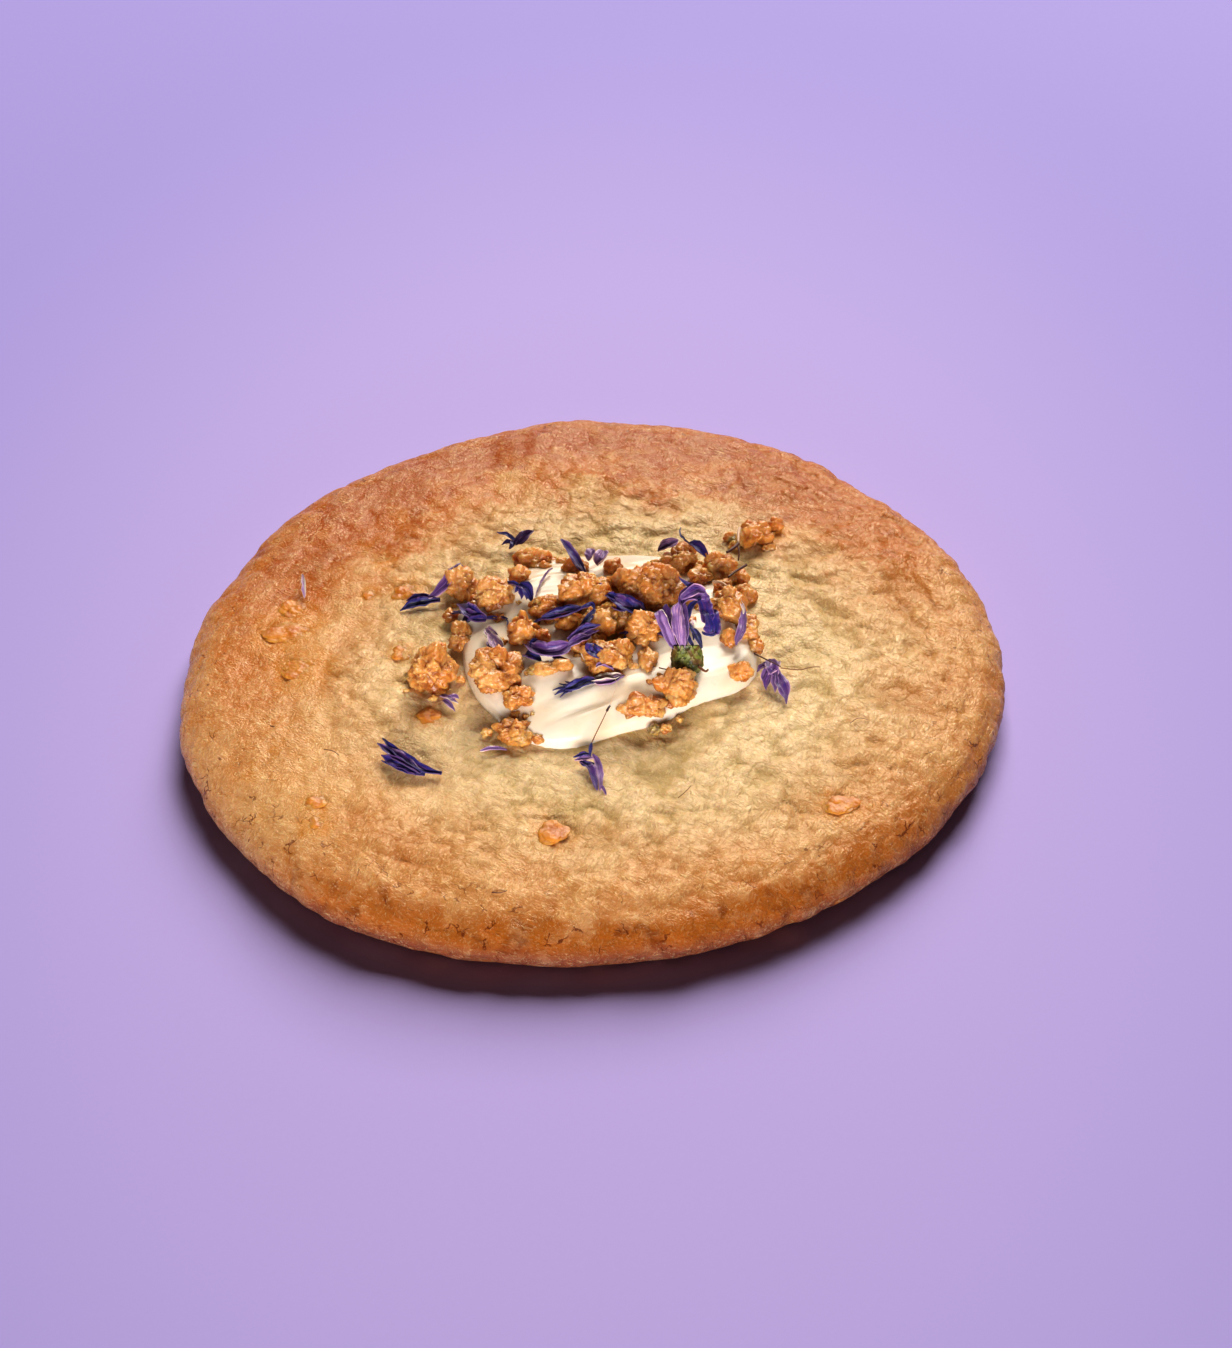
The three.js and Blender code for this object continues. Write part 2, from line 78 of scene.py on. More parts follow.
# Crumbs of butter and sugar that have melted into the crust: place, width, depth and height.
BISCUIT_CRUMBS = (
    (-20.7, -15.2, 2.8, 2.4, 2.2),
    (-24.9, -2.2, 2.8, 2.4, 2.2),
    (-24.5, 10.9, 3.6, 2.8, 2.6),
    (-29.8, 11.1, 2, 2.2, 1.8),
    (-28.1, 17.6, 2.3, 2, 1.8),
    (-40.2, 8.9, 3.2, 3, 2.4),
    (-40.3, 3.8, 6.2, 3, 1.8),
    (-37.5, -4.1, 5.6, 3.6, 2),
    (-34.8, -29.8, 2.4, 2, 1.4),
    (-34.1, -33.6, 2.8, 2.4, 1.7),
    (-5, -37.6, 3.4, 3, 1.6),
    (30.7, -34.7, 3.6, 2.4, 1.5),
    (27, 20.6, 3, 2.6, 2.6),
)

# The cream's outline, which the pebbles fade out under: its reach every 22.5 degrees from +X.
CREAM_CENTRE = (2.5, -4)
CREAM_REACH = (
    20.2, 19.9, 20.9, 19.6, 18.8, 19.8, 20, 21.3, 19.1, 19.2, 19.7, 20.6, 17.6, 16.6, 16.8, 20.4,
)


def smoothstep(low, high, value):
    share = min(1.0, max(0.0, (value - low) / (high - low)))
    return share * share * (3 - 2 * share)


def outline_wave(angle):
    return sum(size * math.cos(count * angle - phase) for count, size, phase in OUTLINE_WAVES)


def cream_reach(angle):
    """The edge's distance from the cream's centre, smooth through the listed ones."""
    count = len(CREAM_REACH)
    turn = (angle / math.tau * count) % count
    i = int(turn)
    t = turn - i
    a, b, c, d = (CREAM_REACH[(i + k) % count] for k in (-1, 0, 1, 2))
    return b + 0.5 * t * (c - a + t * (2 * a - 5 * b + 4 * c - d + t * (3 * (b - c) + d - a)))


def cream_share(x, y):
    """0 at the cream's centre and 1 at its edge."""
    dx, dy = x - CREAM_CENTRE[0], y - CREAM_CENTRE[1]
    return math.hypot(dx, dy) / cream_reach(math.atan2(dy, dx))


def biscuit_top(x, y):
    """Height of the biscuit's smooth top, without its bumps."""
    r = math.hypot(x, y) - outline_wave(math.atan2(y, x))
    if r <= SHOULDER_RADIUS:
        return BISCUIT_MIDDLE - (BISCUIT_MIDDLE - SHOULDER_HEIGHT) * (r / SHOULDER_RADIUS) ** 2
    out = min(1, (r - SHOULDER_RADIUS) / RIM_WIDTH)
    return WIDEST_HEIGHT + (SHOULDER_HEIGHT - WIDEST_HEIGHT) * math.sqrt(1 - out * out)


def facet_ball(cuts):
    """A round ball of 20 (cuts + 1) squared triangles of about one size."""
    ball = bmesh.new()
    bmesh.ops.create_icosphere(ball, subdivisions=1, radius=1)
    bmesh.ops.subdivide_edges(ball, edges=ball.edges[:], cuts=cuts, use_grid_fill=True)
    for point in ball.verts:
        point.co.normalize()
    return ball


def biscuit_section():
    """Radius and height from the middle of the top, over the rim and back along the underside."""
    steps = SECTION_STEPS
    crown = BISCUIT_MIDDLE - SHOULDER_HEIGHT
    rise = SHOULDER_HEIGHT - WIDEST_HEIGHT
    foot = BISCUIT_RADIUS - FOOT_INSET
    turns = [math.pi / 2 * i / steps for i in range(1, steps + 1)]
    section = [(SHOULDER_RADIUS * i / steps, BISCUIT_MIDDLE - crown * (i / steps) ** 2)
               for i in range(steps + 1)]
    section += [(SHOULDER_RADIUS + RIM_WIDTH * math.sin(turn), WIDEST_HEIGHT + rise * math.cos(turn))
                for turn in turns]
    section += [(foot + FOOT_INSET * math.cos(turn), WIDEST_HEIGHT * (1 - math.sin(turn)))
                for turn in turns]
    section += [(foot * (1 - i / steps), 0) for i in range(1, steps + 1)]
    return section


def packed_bumps(place, size):
    """Rounded bumps side by side: 1 on a crown, falling to about 0 between two."""
    nearest = noise.voronoi(place / size)[0][0]
    return 1 - min(1, nearest / 0.8) ** 2


def rounded(place, size):
    """Soft worm-like swells with narrow crevices between them, from 0 in a crevice to 1."""
    up = min(1, 2.4 * abs(noise.noise(place / size)))
    return up * (2 - up)


def biscuit_relief(place):
    """The bumps' height at a place of the smooth form, how far out of the crevices, and how lumpy."""
    angle = math.atan2(place.y, place.x)
    r = math.hypot(place.x, place.y)
    clear_of_cream = smoothstep(1.0, 1.16, cream_share(place.x, place.y))
    above_foot = smoothstep(0.3, 3, place.z)
    towards_pits = 0.5 + 0.5 * math.cos(angle - PITTED_TOWARDS)
    uneven = noise.noise(place / 14 + Vector((3, 8, 1)))
    middle = 1 - smoothstep(28, 44, r)
    lumpy = 0.3 + 0.7 * smoothstep(0.25, 0.8, max(towards_pits, 0.75 * middle) + 0.4 * uneven)
    lumpy *= 1 - 0.4 * smoothstep(42, 54, r)
    in_patches = noise.noise(place / 6.5 + Vector((11, 4, 2)))
    creased = lumpy * (0.2 + 0.8 * smoothstep(-0.3, 0.35, in_patches))
    bent = place + 0.8 * noise.noise_vector(place / 2.8)
    lump = packed_bumps(bent + Vector((9, 4, 30)), LUMPS["size"])
    pebble = packed_bumps(bent + Vector((50, 20, 7)), PEBBLES["size"])
    grain = rounded(bent + Vector((20, 50, 7)), GRAINS["size"])
    height = SWELLS["height"] * noise.noise(place / SWELLS["size"] + Vector((0, 0, 9)))
    height += LUMPS["height"] * (0.25 + 0.75 * creased) * (lump - 0.6)
    height += PEBBLES["height"] * (0.2 + 0.8 * lumpy) * (pebble - 0.7)
    height += GRAINS["height"] * (grain - 0.5)
    raised = 1 - 0.6 * creased * (1 - lump) - 0.35 * lumpy * (1 - pebble) - 0.1 * (1 - grain)
    return height * clear_of_cream * above_foot, raised, lumpy


def around_rim(shares, angle):
    """A share that changes smoothly between the values listed every 30 degrees."""
    turn = (angle / math.tau * len(shares)) % len(shares)
    i = int(turn)
    return shares[i] + (shares[(i + 1) % len(shares)] - shares[i]) * smoothstep(0, 1, turn - i)


def biscuit_browning(place, r):
    """0 where the crust is pale and 1 where it is baked brown."""
    angle = math.atan2(place.y, place.x)
    mottled = 4 * noise.noise(place / 7) + 3.6 * noise.noise(place / 2.6)
    paler_edge = 1 - 0.45 * smoothstep(48.5, 52, r)
    return around_rim(BROWN_BAND, angle) * smoothstep(27, 46, r + 1.6 * mottled) * paler_edge


def biscuit_toasting(place, r):
    """1 where the rim's edge is toasted a deep golden orange, a little less near the table."""
    uneven = 1.6 * noise.noise(place / 5) + 1.4 * noise.noise(place / 1.7)
    at_edge = smoothstep(49.3, 53.8, r + 1.4 * uneven) if place.z > WIDEST_HEIGHT else 1
    not_under = 0.3 + 0.7 * smoothstep(2.6, 4.6, place.z + 0.5 * uneven)
    return around_rim(TOASTED_RIM, math.atan2(place.y, place.x)) * at_edge * not_under


def crumb_halo(x, y):
    """1 beside a crumb that has melted into the crust, falling to 0 around it."""
    apart = min(math.hypot(x - crumb[0], y - crumb[1]) / crumb[2] for crumb in BISCUIT_CRUMBS)
    return smoothstep(1.15, 0.5, apart + 0.3 * noise.noise(Vector((x, y, 0)) / 1.3))


biscuit = facet_ball(BISCUIT_CUTS)
section = biscuit_section()
share = [0.0]
for (r0, z0), (r1, z1) in zip(section, section[1:]):
    beneath = COARSE_BENEATH if z0 == z1 == 0 else 1
    share.append(share[-1] + math.hypot(r1 - r0, z1 - z0) * (r0 + r1) * beneath)

browning, toasted, raised, pebbled, glazed = (
    biscuit.verts.layers.float.new(name)
    for name in ("browning", "toasted", "raised", "pebbled", "glazed")
)
order = sorted(biscuit.verts, key=lambda point: -point.co.z)
i = 1
for point in order:
    wanted = (1 - point.co.z) / 2 * share[-1]
    while share[i] < wanted and i < len(section) - 1:
        i += 1
    along = min(1, (wanted - share[i - 1]) / (share[i] - share[i - 1]))
    (r0, z0), (r1, z1) = section[i - 1], section[i]
    r, z = r0 + (r1 - r0) * along, z0 + (z1 - z0) * along
    step = math.hypot(r1 - r0, z1 - z0)
    angle = math.atan2(point.co.y, point.co.x)
    smooth = Vector((r * math.cos(angle), r * math.sin(angle), z))
    bump, point[raised], point[pebbled] = biscuit_relief(smooth)
    point[browning] = biscuit_browning(smooth, r)
    point[toasted] = biscuit_toasting(smooth, r)
    point[glazed] = crumb_halo(smooth.x, smooth.y) if z > WIDEST_HEIGHT else 0
    out = r + outline_wave(angle) * smoothstep(0, SHOULDER_RADIUS, r) - (z1 - z0) / step * bump
    point.co = Vector((out * math.cos(angle), out * math.sin(angle), z + (r1 - r0) / step * bump))
    into_chip = CHIP["radius"] - (point.co - CHIP["at"]).length
    if into_chip > 0:
        point.co -= Vector((math.cos(angle), math.sin(angle), 0)) * into_chip * CHIP["pressed"]
        point[raised] = CHIP["raised"]


class Signal:
    """A socket of a material. Arithmetic on it adds Math nodes, and node() adds any other node."""

    def __init__(self, socket):
        self.socket = socket

    def node(self, kind, settings=None, inputs=None, output=0):
        made = self.socket.id_data.nodes.new(kind)
        for name, value in (settings or {}).items():
            setattr(made, name, value)
        for name, value in (inputs or {}).items():
            if isinstance(value, Signal):
                made.id_data.links.new(value.socket, made.inputs[name])
            else:
                made.inputs[name].default_value = value
        return Signal(made.outputs[output])

    def math(self, operation, first, second):
        return self.node("ShaderNodeMath", {"operation": operation}, {0: first, 1: second})

    def vector(self, operation, other):
        return self.node("ShaderNodeVectorMath", {"operation": operation}, {0: self, 1: other})

    def __add__(self, other):
        return self.math("ADD", self, other)

    def __sub__(self, other):
        return self.math("SUBTRACT", self, other)

    def __mul__(self, other):
        return self.math("MULTIPLY", self, other)

    def __pow__(self, other):
        return self.math("POWER", self, other)

    def __rsub__(self, other):
        return self.math("SUBTRACT", other, self)

    __radd__ = __add__
    __rmul__ = __mul__

    def between(self, low, high):
        """0 below low, 1 above high, a smooth step between; the other way round if low > high."""
        settings = {"interpolation_type": "SMOOTHSTEP"}
        ends = (low, high, 0.0, 1.0) if low < high else (high, low, 1.0, 0.0)
        values = dict(zip(("From Min", "From Max", "To Min", "To Max"), ends))
        return self.node("ShaderNodeMapRange", settings, {"Value": self, **values})

    def grain(self, size, detail=2.0, distortion=0.0, roughness=0.5):
        """Soft noise from 0 to 1 over this vector, with features of a size in millimetres."""
        inputs = {"Vector": self, "Scale": 1000 / size, "Detail": detail}
        inputs.update({"Distortion": distortion, "Roughness": roughness})
        return self.node("ShaderNodeTexNoise", {}, inputs)

    def spots(self, size, output="Distance", edges=False):
        """Distance to the nearest of scattered points, as a share of their spacing in millimetres.

        With edges it is the distance to the nearest border between two points' cells.
        """
        settings = {"feature": "DISTANCE_TO_EDGE"} if edges else {}
        inputs = {"Vector": self, "Scale": 1000 / size}
        return self.node("ShaderNodeTexVoronoi", settings, inputs, output)

    def warped(self, size, amount):
        """This vector, pushed about by soft noise; its size and amount are in millimetres."""
        drift = self.node("ShaderNodeTexNoise", {}, {"Vector": self, "Scale": 1000 / size}, 1)
        inputs = {0: drift, 1: (amount / 1000,) * 3, 2: self}
        return self.node("ShaderNodeVectorMath", {"operation": "MULTIPLY_ADD"}, inputs)

    def streaked(self, turn, times):
        """This vector, for a pattern drawn out so many times along a direction in degrees from +X."""
        inputs = {"Vector": self, "Rotation": (0, 0, math.radians(turn)), "Scale": (times, 1, 1)}
        return self.node("ShaderNodeMapping", {"vector_type": "TEXTURE"}, inputs)

    def from_axis(self, depth_share=1.0):
        """How far this place is from the Z axis, in metres, with Y counted at a share of its length."""
        flat = self.vector("MULTIPLY", (1, depth_share, 0))
        return flat.node("ShaderNodeVectorMath", {"operation": "LENGTH"}, {0: flat}, "Value")

    def tint(self, first, second):
        """The first colour where this is 0 and the second where it is 1."""
        return self.node("ShaderNodeMix", {"data_type": "RGBA"}, {0: self, 6: first, 7: second}, 2)

    def bumped(self, height, before=None):
        """The surface's normal, as this relief of a height in millimetres bends it."""
        inputs = {"Height": self, "Distance": height / 1000, "Strength": 1.0}
        if before is not None:
            inputs["Normal"] = before
        return self.node("ShaderNodeBump", {}, inputs)


class Finish:
    """A material with one Principled shader, its place on the piece, and the piece's own attributes."""

    def __init__(self, name, **constants):
        self.material = bpy.data.materials.new(name)
        self.material.use_nodes = True
        self.shader = self.material.node_tree.nodes["Principled BSDF"]
        for socket, value in constants.items():
            self.shader.inputs[socket.replace("_", " ")].default_value = value
        self.place = Signal(self.shader.outputs[0]).node("ShaderNodeTexCoord", output="Object")

    def attribute(self, name):
        return self.place.node("ShaderNodeAttribute", {"attribute_name": name}, output="Fac")

    def feed(self, **signals):
        links = self.material.node_tree.links
        for socket, signal in signals.items():
            links.new(signal.socket, self.shader.inputs[socket.replace("_", " ")])
        return self.material


def paint(red, green, blue):
    """A colour as a screen shows it, 0 to 255, in the linear light that a shader works in."""
    linear = [
        c / 255 / 12.92 if c <= 10 else ((c / 255 + 0.055) / 1.055) ** 2.4
        for c in (red, green, blue)
    ]
    return (*linear, 1)


MM = 0.001
# Two groups, because each has a low front light of its own.
crust_side, toppings = (bpy.data.collections.new(name) for name in ("crust", "toppings"))
bpy.context.scene.collection.children.link(crust_side)
bpy.context.scene.collection.children.link(toppings)


def finish_piece(shape, name, material, slot, *stands_for, group=toppings):
    """Makes a shape in millimetres a smooth piece in metres, in place of the nodes it stands for."""
    bmesh.ops.scale(shape, vec=(MM, MM, MM), verts=shape.verts)
    bmesh.ops.recalc_face_normals(shape, faces=shape.faces)
    mesh = bpy.data.meshes.new(name)
    shape.to_mesh(mesh)
    shape.free()
    mesh.shade_smooth()
    mesh.materials.append(material)
    piece = bpy.data.objects.new(name, mesh)
    group.objects.link(piece)
    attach(piece, "root")
    if stands_for:
        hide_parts(*stands_for)
    return piece


MOIST_MIDDLE = (0.005, -0.006, 0)  # the pale, moist part of the top lies towards the front, in metres


def crust_finish():
    finish = Finish(
        "baked_crust", Specular_IOR_Level=0.32, Subsurface_Weight=0.35, Subsurface_Scale=0.0013,
    )
    # Butter in the crust gives it a warm sheen.
    finish.shader.inputs["Specular Tint"].default_value = (1, 0.82, 0.55, 1)
    finish.shader.inputs["Subsurface Radius"].default_value = (1, 0.5, 0.2)
    place = finish.place
    browned = finish.attribute("browning")
    toasted = finish.attribute("toasted")
    crown = finish.attribute("raised")
    from_middle = place.from_axis()
    from_moist = place.vector("SUBTRACT", MOIST_MIDDLE).from_axis()
    moist = (from_moist + 0.012 * place.grain(8, 2)).between(0.052, 0.029)
    blotch = place.grain(6, 3, 0.6).between(0.32, 0.7)
    pale = blotch.tint(paint(220, 168, 108), paint(203, 143, 80))
    pale = moist.tint(pale, paint(236, 207, 160))
    peach = place.grain(11, 1).between(0.4, 0.6) * (1 - moist)
    pale = (peach * 0.24).tint(pale, paint(222, 154, 104))
    gold = place.warped(3, 2).grain(3.4, 3, 0.6).between(0.52, 0.7)
    pale = (gold * 0.4 * (1 - moist)).tint(pale, paint(206, 132, 40))
    color = browned.between(0.0, 0.5).tint(pale, paint(196, 112, 36))
    color = browned.between(0.4, 1.0).tint(color, paint(174, 80, 16))
    color = (gold * 0.6 * browned.between(0.1, 0.6)).tint(color, paint(160, 70, 8))
    faded = place.warped(2, 1.2).grain(2.4, 2).between(0.54, 0.66)
    color = (faded * 0.4 * browned).tint(color, paint(214, 146, 80))
    rim_tone = gold.tint(paint(188, 110, 38), paint(146, 72, 12))
    color = toasted.between(0.0, 0.9).tint(color, rim_tone)
    # Painted shade on the lower side of the rim and on its underside, darkening to a pinkish brown towards
    # the table.
    height = place.node("ShaderNodeSeparateXYZ", {}, {0: place}, "Z")
    painted_shade_beneath = height.between(0.0054, 0.0028)
    color = (painted_shade_beneath * 0.95).tint(color, paint(140, 76, 58))
    color = (finish.attribute("glazed") * 0.6).tint(color, paint(214, 136, 40))
    # Painted shade in the crevices between the lumps and between the beads: olive khaki in the moist middle,
    # brown elsewhere.
    pebbles = finish.attribute("pebbled").between(0.35, 0.8)
    beads = place.warped(2.0, 1.5).spots(1.9)
    between_beads = beads.between(0.42, 0.72) * pebbles
    shaded_hollow = crown.between(0.8, 0.35)
    shaded_hollow = shaded_hollow + 0.4 * between_beads * (1 - shaded_hollow)
    dark = moist.tint(paint(192, 116, 48), paint(196, 165, 102))
    color = (shaded_hollow * 0.68).tint(color, dark)
    # Painted highlight on the lumps' crowns, stronger in the moist middle.
    color = (crown.between(0.82, 1.0) * (0.16 + 0.3 * moist)).tint(color, paint(250, 228, 178))
    # Fine squiggly strokes in the skin, in patches of two directions, and a glitter of grains: they bend the
    # normal, and give painted glints and painted shade.
    strokes = place.streaked(60, 2.5).grain(0.36, 2, 1.2)
    second = place.streaked(-35, 2.5).grain(0.38, 2, 1.2)
    patch = place.grain(3.4, 2, 0.5).between(0.44, 0.54)
    skin = strokes * (1 - patch) + second * patch
    glitter = place.grain(0.32, 2)
    # Painted highlight: pale glints on the strokes' ridges and on the grains, fainter on the toasted rim.
    light = skin.between(0.54, 0.66) * 0.3 + glitter.between(0.58, 0.7) * 0.3
    color = (light * (1 - 0.6 * toasted)).tint(color, paint(255, 228, 170))
    # Painted shade in the strokes' troughs.
    color = (skin.between(0.46, 0.34) * 0.22).tint(color, paint(166, 98, 34))
    # A few short red-brown cracks near the rim, and dark specks.
    crease = place.warped(1.1, 1.5).spots(2.2, edges=True).between(0.045, 0.014)
    edge = from_middle.between(0.044, 0.053)
    chosen = place.grain(2.4, 1).between(0.57, 0.64) * edge
    dots = place.spots(2.6).between(0.13, 0.07)
    few = place.spots(2.6, output="Color").between(0.78, 0.8)
    specks = dots * few * (0.25 + 0.75 * edge)
    color = (specks * 0.75).tint(color, paint(106, 44, 14))
    color = (crease * chosen * 0.8).tint(color, paint(106, 36, 8))
    normal = glitter.bumped(0.08)
    normal = skin.bumped(0.2, normal)
    normal = ((1 - beads**2) * pebbles).bumped(0.35, normal)
    roughness = 0.16 + 0.2 * place.grain(2.2, 2) + 0.15 * shaded_hollow
    return finish.feed(Base_Color=color, Roughness=roughness, Normal=normal)


finish_piece(biscuit, "biscuit", crust_finish(), "biscuit", "biscuit", group=crust_side)

# ---- Cream --------------------------------------------------------------------------------------
# A thick smear of white cream, spread over the middle of the biscuit with a spatula. It keeps the
# furrows of the strokes and a full, rounded front edge.

CREAM_THICKNESS = 3.6
CREAM_CUTS = 48
SWIPE_ANGLE = math.radians(22)
SWIPES = ((-13.2, 2.2, 0.55), (-6, 3, 0.4), (4, 3.4, 0.5))  # place across the strokes, width, depth
# Slow swells of the top: direction in degrees, length, height and phase.
CREAM_SWELLS = ((75, 17, 0.34, 0.6), (140, 11.5, 0.28, 2.1), (10, 13, 0.22, 4))
DENT = {"at": (-0.4, -18.6), "long": 4.2, "wide": 1.1, "depth": 1.3}
SUNK = 0.9  # the cream's underside lies this far into the crust, under its bumps
CLEAR_OF_CRUST = 0.3  # and its top this much higher than its thickness, to clear the bumps
LIP = 0.985  # share of the reach from which the edge turns down to the crust
BENEATH = 0.12  # share of the ball's height that becomes the underside


def along_swipes(x, y):
    """How far a place is along the spatula's strokes, and across them."""
    cos, sin = math.cos(SWIPE_ANGLE), math.sin(SWIPE_ANGLE)
    return x * cos + y * sin, y * cos - x * sin


def cream_thickness(x, y):
    share = cream_share(x, y)
    if share >= 1:
        return 0.0
    along, across = along_swipes(x, y)
    slab = CREAM_THICKNESS
    for middle, width, depth in SWIPES:
        slab -= depth * math.exp(-(((across - middle) / width) ** 2))
    for toward, length, height, phase in CREAM_SWELLS:
        way = x * math.cos(math.radians(toward)) + y * math.sin(math.radians(toward))
        slab += height * math.sin(math.tau * way / length + phase)
    dent_along, dent_across = along_swipes(*DENT["at"])
    from_dent_along = (along - dent_along) / DENT["long"]
    from_dent_across = (across - dent_across) / DENT["wide"]
    slab -= DENT["depth"] * math.exp(-(from_dent_along**2 + from_dent_across**2))
    return slab * math.sqrt(1 - share**4.5)


def cream_ripples(x, y):
    """Fine furrows and a few folded ridges that the spatula left along its strokes."""
    along, across = along_swipes(x, y)
    wander = noise.noise(Vector((along / 9, across / 5, 3)))
    furrow = noise.noise(Vector((along / 14, (across + 1.2 * wander) / 0.9, 11)))
    ridge = noise.noise(Vector((along / 10, (across + 2 * wander) / 2.3, 5)))
    return 0.08 * furrow + 0.5 * max(0, ridge - 0.1)


def surface_height(x, y):
    return biscuit_top(x, y) + cream_thickness(x, y)


cream = facet_ball(CREAM_CUTS)
for point in cream.verts:
    down = (1 - point.co.z) / 2
    on_top = down <= 1 - BENEATH
    reached = math.sqrt(down / (1 - BENEATH) if on_top else (1 - down) / BENEATH)
    angle = math.atan2(point.co.y, point.co.x)
    uneven = 1 + 0.018 * noise.noise(Vector((3 * math.cos(angle), 3 * math.sin(angle), 8)))
    reach = cream_reach(angle) * reached * uneven
    x = CREAM_CENTRE[0] + reach * math.cos(angle)
    y = CREAM_CENTRE[1] + reach * math.sin(angle)
    seat = biscuit_top(x, y)
    if on_top:
        inner = math.sqrt(max(0, 1 - reached**6))
        above = CLEAR_OF_CRUST + cream_thickness(x, y) + cream_ripples(x, y) * inner
        if reached > LIP:
            above *= max(0, (1 - reached) / (1 - LIP))
        point.co = Vector((x, y, seat + above))
    else:
        point.co = Vector((x, y, seat - SUNK * (1 - reached**8)))


def cream_finish():
    finish = Finish("whipped_cream", Subsurface_Weight=0.4, Subsurface_Scale=0.0014, IOR=1.42)
    place = finish.place
    finish.shader.inputs["Subsurface Radius"].default_value = (1, 0.82, 0.55)
    rich = place.grain(7, 2, 0.4).between(0.35, 0.7)
    color = rich.tint(paint(238, 224, 203), paint(233, 210, 178))
    normal = place.streaked(22, 4).grain(0.7, 2).bumped(0.02)
    roughness = 0.22 + 0.14 * place.grain(3, 2)
    return finish.feed(Base_Color=color, Roughness=roughness, Normal=normal)


finish_piece(cream, "cream", cream_finish(), "cream", "cream")

# ---- Crumble ------------------------------------------------------------------------------------
# Soft pastry crumble, baked golden brown and strewn over the cream and round it. Each clump is many
# moist grains grown together; the smallest crumbs have sunk into what they lie on.

CLUMPS = (  # place of the middle, then width, depth and height
    (8.9, 1, 9, 7.4, 6.8),
    (0.2, 1.9, 7.4, 6.4, 5.4),
    (-20.3, -9.3, 6.6, 6.4, 8.2),
    (-11.7, -12.5, 7.8, 6.4, 5.4),
    (2.6, -11.4, 6.8, 5.8, 5),
    (7.9, -6.2, 6.2, 4.6, 4.8),
    (2.2, -3.9, 6.4, 5, 4.8),
    (-4.9, -0.6, 6.4, 3.8, 3.8),
    (11.4, -16.4, 5.8, 4.8, 5.8),
    (18.6, -1.4, 5.2, 5, 5),
    (-12.1, 3, 5.6, 5, 4.6),
    (18.4, 8.8, 5.2, 4.6, 5.6),
    (23.8, 18.6, 5.2, 4.2, 4),
    (-8.4, -4.8, 4.8, 4.8, 4.6),
    (-9.6, -20.6, 5.6, 4.2, 4.2),
    (-16.9, 9.6, 5, 4.8, 4.4),
    (-6.9, 12, 6, 3.8, 3.6),
    (13.2, 10.6, 6, 4.2, 4.2),
    (6.8, -19.2, 6.4, 3.4, 3.4),
)
PRESSED_IN = 0.2  # share of a clump's height below the surface it lies on
CREAM_CRUMBS = (  # small ones that have sunk into the cream, in the same way
    (-8.9, -16.4, 4.8, 4, 3.2),
    (-5.2, -12.4, 4.4, 2.6, 1.8),
    (7.8, -11.2, 2.6, 5, 2.4),
    (21.2, 5.6, 3, 3.4, 3.2),
    (21.3, -4, 3.4, 5, 3.6),
    (20, -12.4, 3.6, 3, 3.2),
    (-1, 9.2, 4.4, 2.6, 2.6),
    (-16.6, -2.2, 3.6, 4.4, 3.6),
)
HEAP = (  # and those that fill the gaps between the clumps
    (2.4, 0, 4.2, 4, 3.8),
    (2.8, -3.2, 4.4, 4, 3.6),
    (4.8, -3.7, 3.6, 3.4, 3),
    (7.1, -7.4, 2.6, 3, 1.8),
    (7.6, -10.6, 2.4, 3.4, 1.6),
    (7.1, -5, 3.2, 3, 2.6),
    (-3.5, -12.4, 3.4, 2.4, 1.8),
    (-5.3, 0.4, 4.6, 3.2, 2.4),
    (1.5, -6.9, 3, 2.6, 2.4),
    (-1.3, -0.4, 3.6, 3, 2.6),
    (8.9, -0.2, 3.4, 3, 2.8),
    (14, 0.8, 3, 2.6, 2.2),
    (18.4, 3.6, 3, 3, 2.6),
    (18.5, -6.8, 2.6, 3.2, 2.2),
    (-10.7, -11, 3, 2.6, 2.2),
    (-8.9, -21.6, 3.4, 2.6, 2.4),
    (10.9, -17.6, 3.4, 2.8, 2.4),
    (21.2, 8.8, 2.6, 2.8, 2.4),
    (27, 21.4, 2.6, 2.4, 2.2),
    (22.3, -7.2, 2.4, 2.6, 2.2),
    (-8.6, 7, 3.4, 2.8, 2.4),
    (4, 8.8, 3.2, 2.6, 2),
    (-18, 3.4, 3, 2.6, 2.2),
    (15.6, 6.4, 3.4, 3, 2.6),
    (-2.4, -3.8, 3.4, 3, 3),
    (-6, -6.4, 3.2, 2.8, 2.4),
    (-1, -7.8, 3, 2.8, 2.6),
    (5, 3.4, 3.8, 3, 3),
    (13.4, -4.6, 2.6, 2.4, 1.8),
)
# How high a crumb's middle lies above the surface, as a share of its height.
LIFTED = {"cream_crumbs": 0.25, "heap": 0.45, "bits": 0.2}
BITS_ROUND_A_CLUMP = 7
BIT_SIZES = (0.9, 2.1)
BIT_FLATNESS = 0.8  # a bit's depth and height, as a share of its width
BIT_SEEDS = (200, 900)
KEPT_CLEAR = ((-1.5, -17), (3.5, -17), (13, -13), (0.5, -21))  # bare cream
CLEAR_HALF_WIDTH, CLEAR_HALF_DEPTH = 3.4, 2.6
KNOBS = 11
GOLDEN_ANGLE = math.pi * (3 - math.sqrt(5))
LUMP_SPACING, FINE_SPACING = 0.2, 0.16  # between the points of a lump's surface
FACETS_ROUND = 5.5  # edges of the first ball that make a way round it
LEAST_CUTS = 5
CORE = 0.62  # a lump reaches at least this share of its half size everywhere
FULLY_ROUGH_FROM = 4.5  # a smaller lump's relief is lower, in proportion
CHUNKS = {"size": 2.3, "height": 0.34}
NUBS = {"size": 0.9, "height": 0.1}
RAGGED = {"size": 2.8, "height": 0.95}


def draws(seed):
    """The same stream of numbers from 0 to 1 for the same seed."""
    state = seed * 2654435761 + 97 & 0xFFFFFFFF
    while True:
        state = ((state ^ state >> 15) * 2246822519 + 374761393) & 0xFFFFFFFF
        yield state / 4294967296


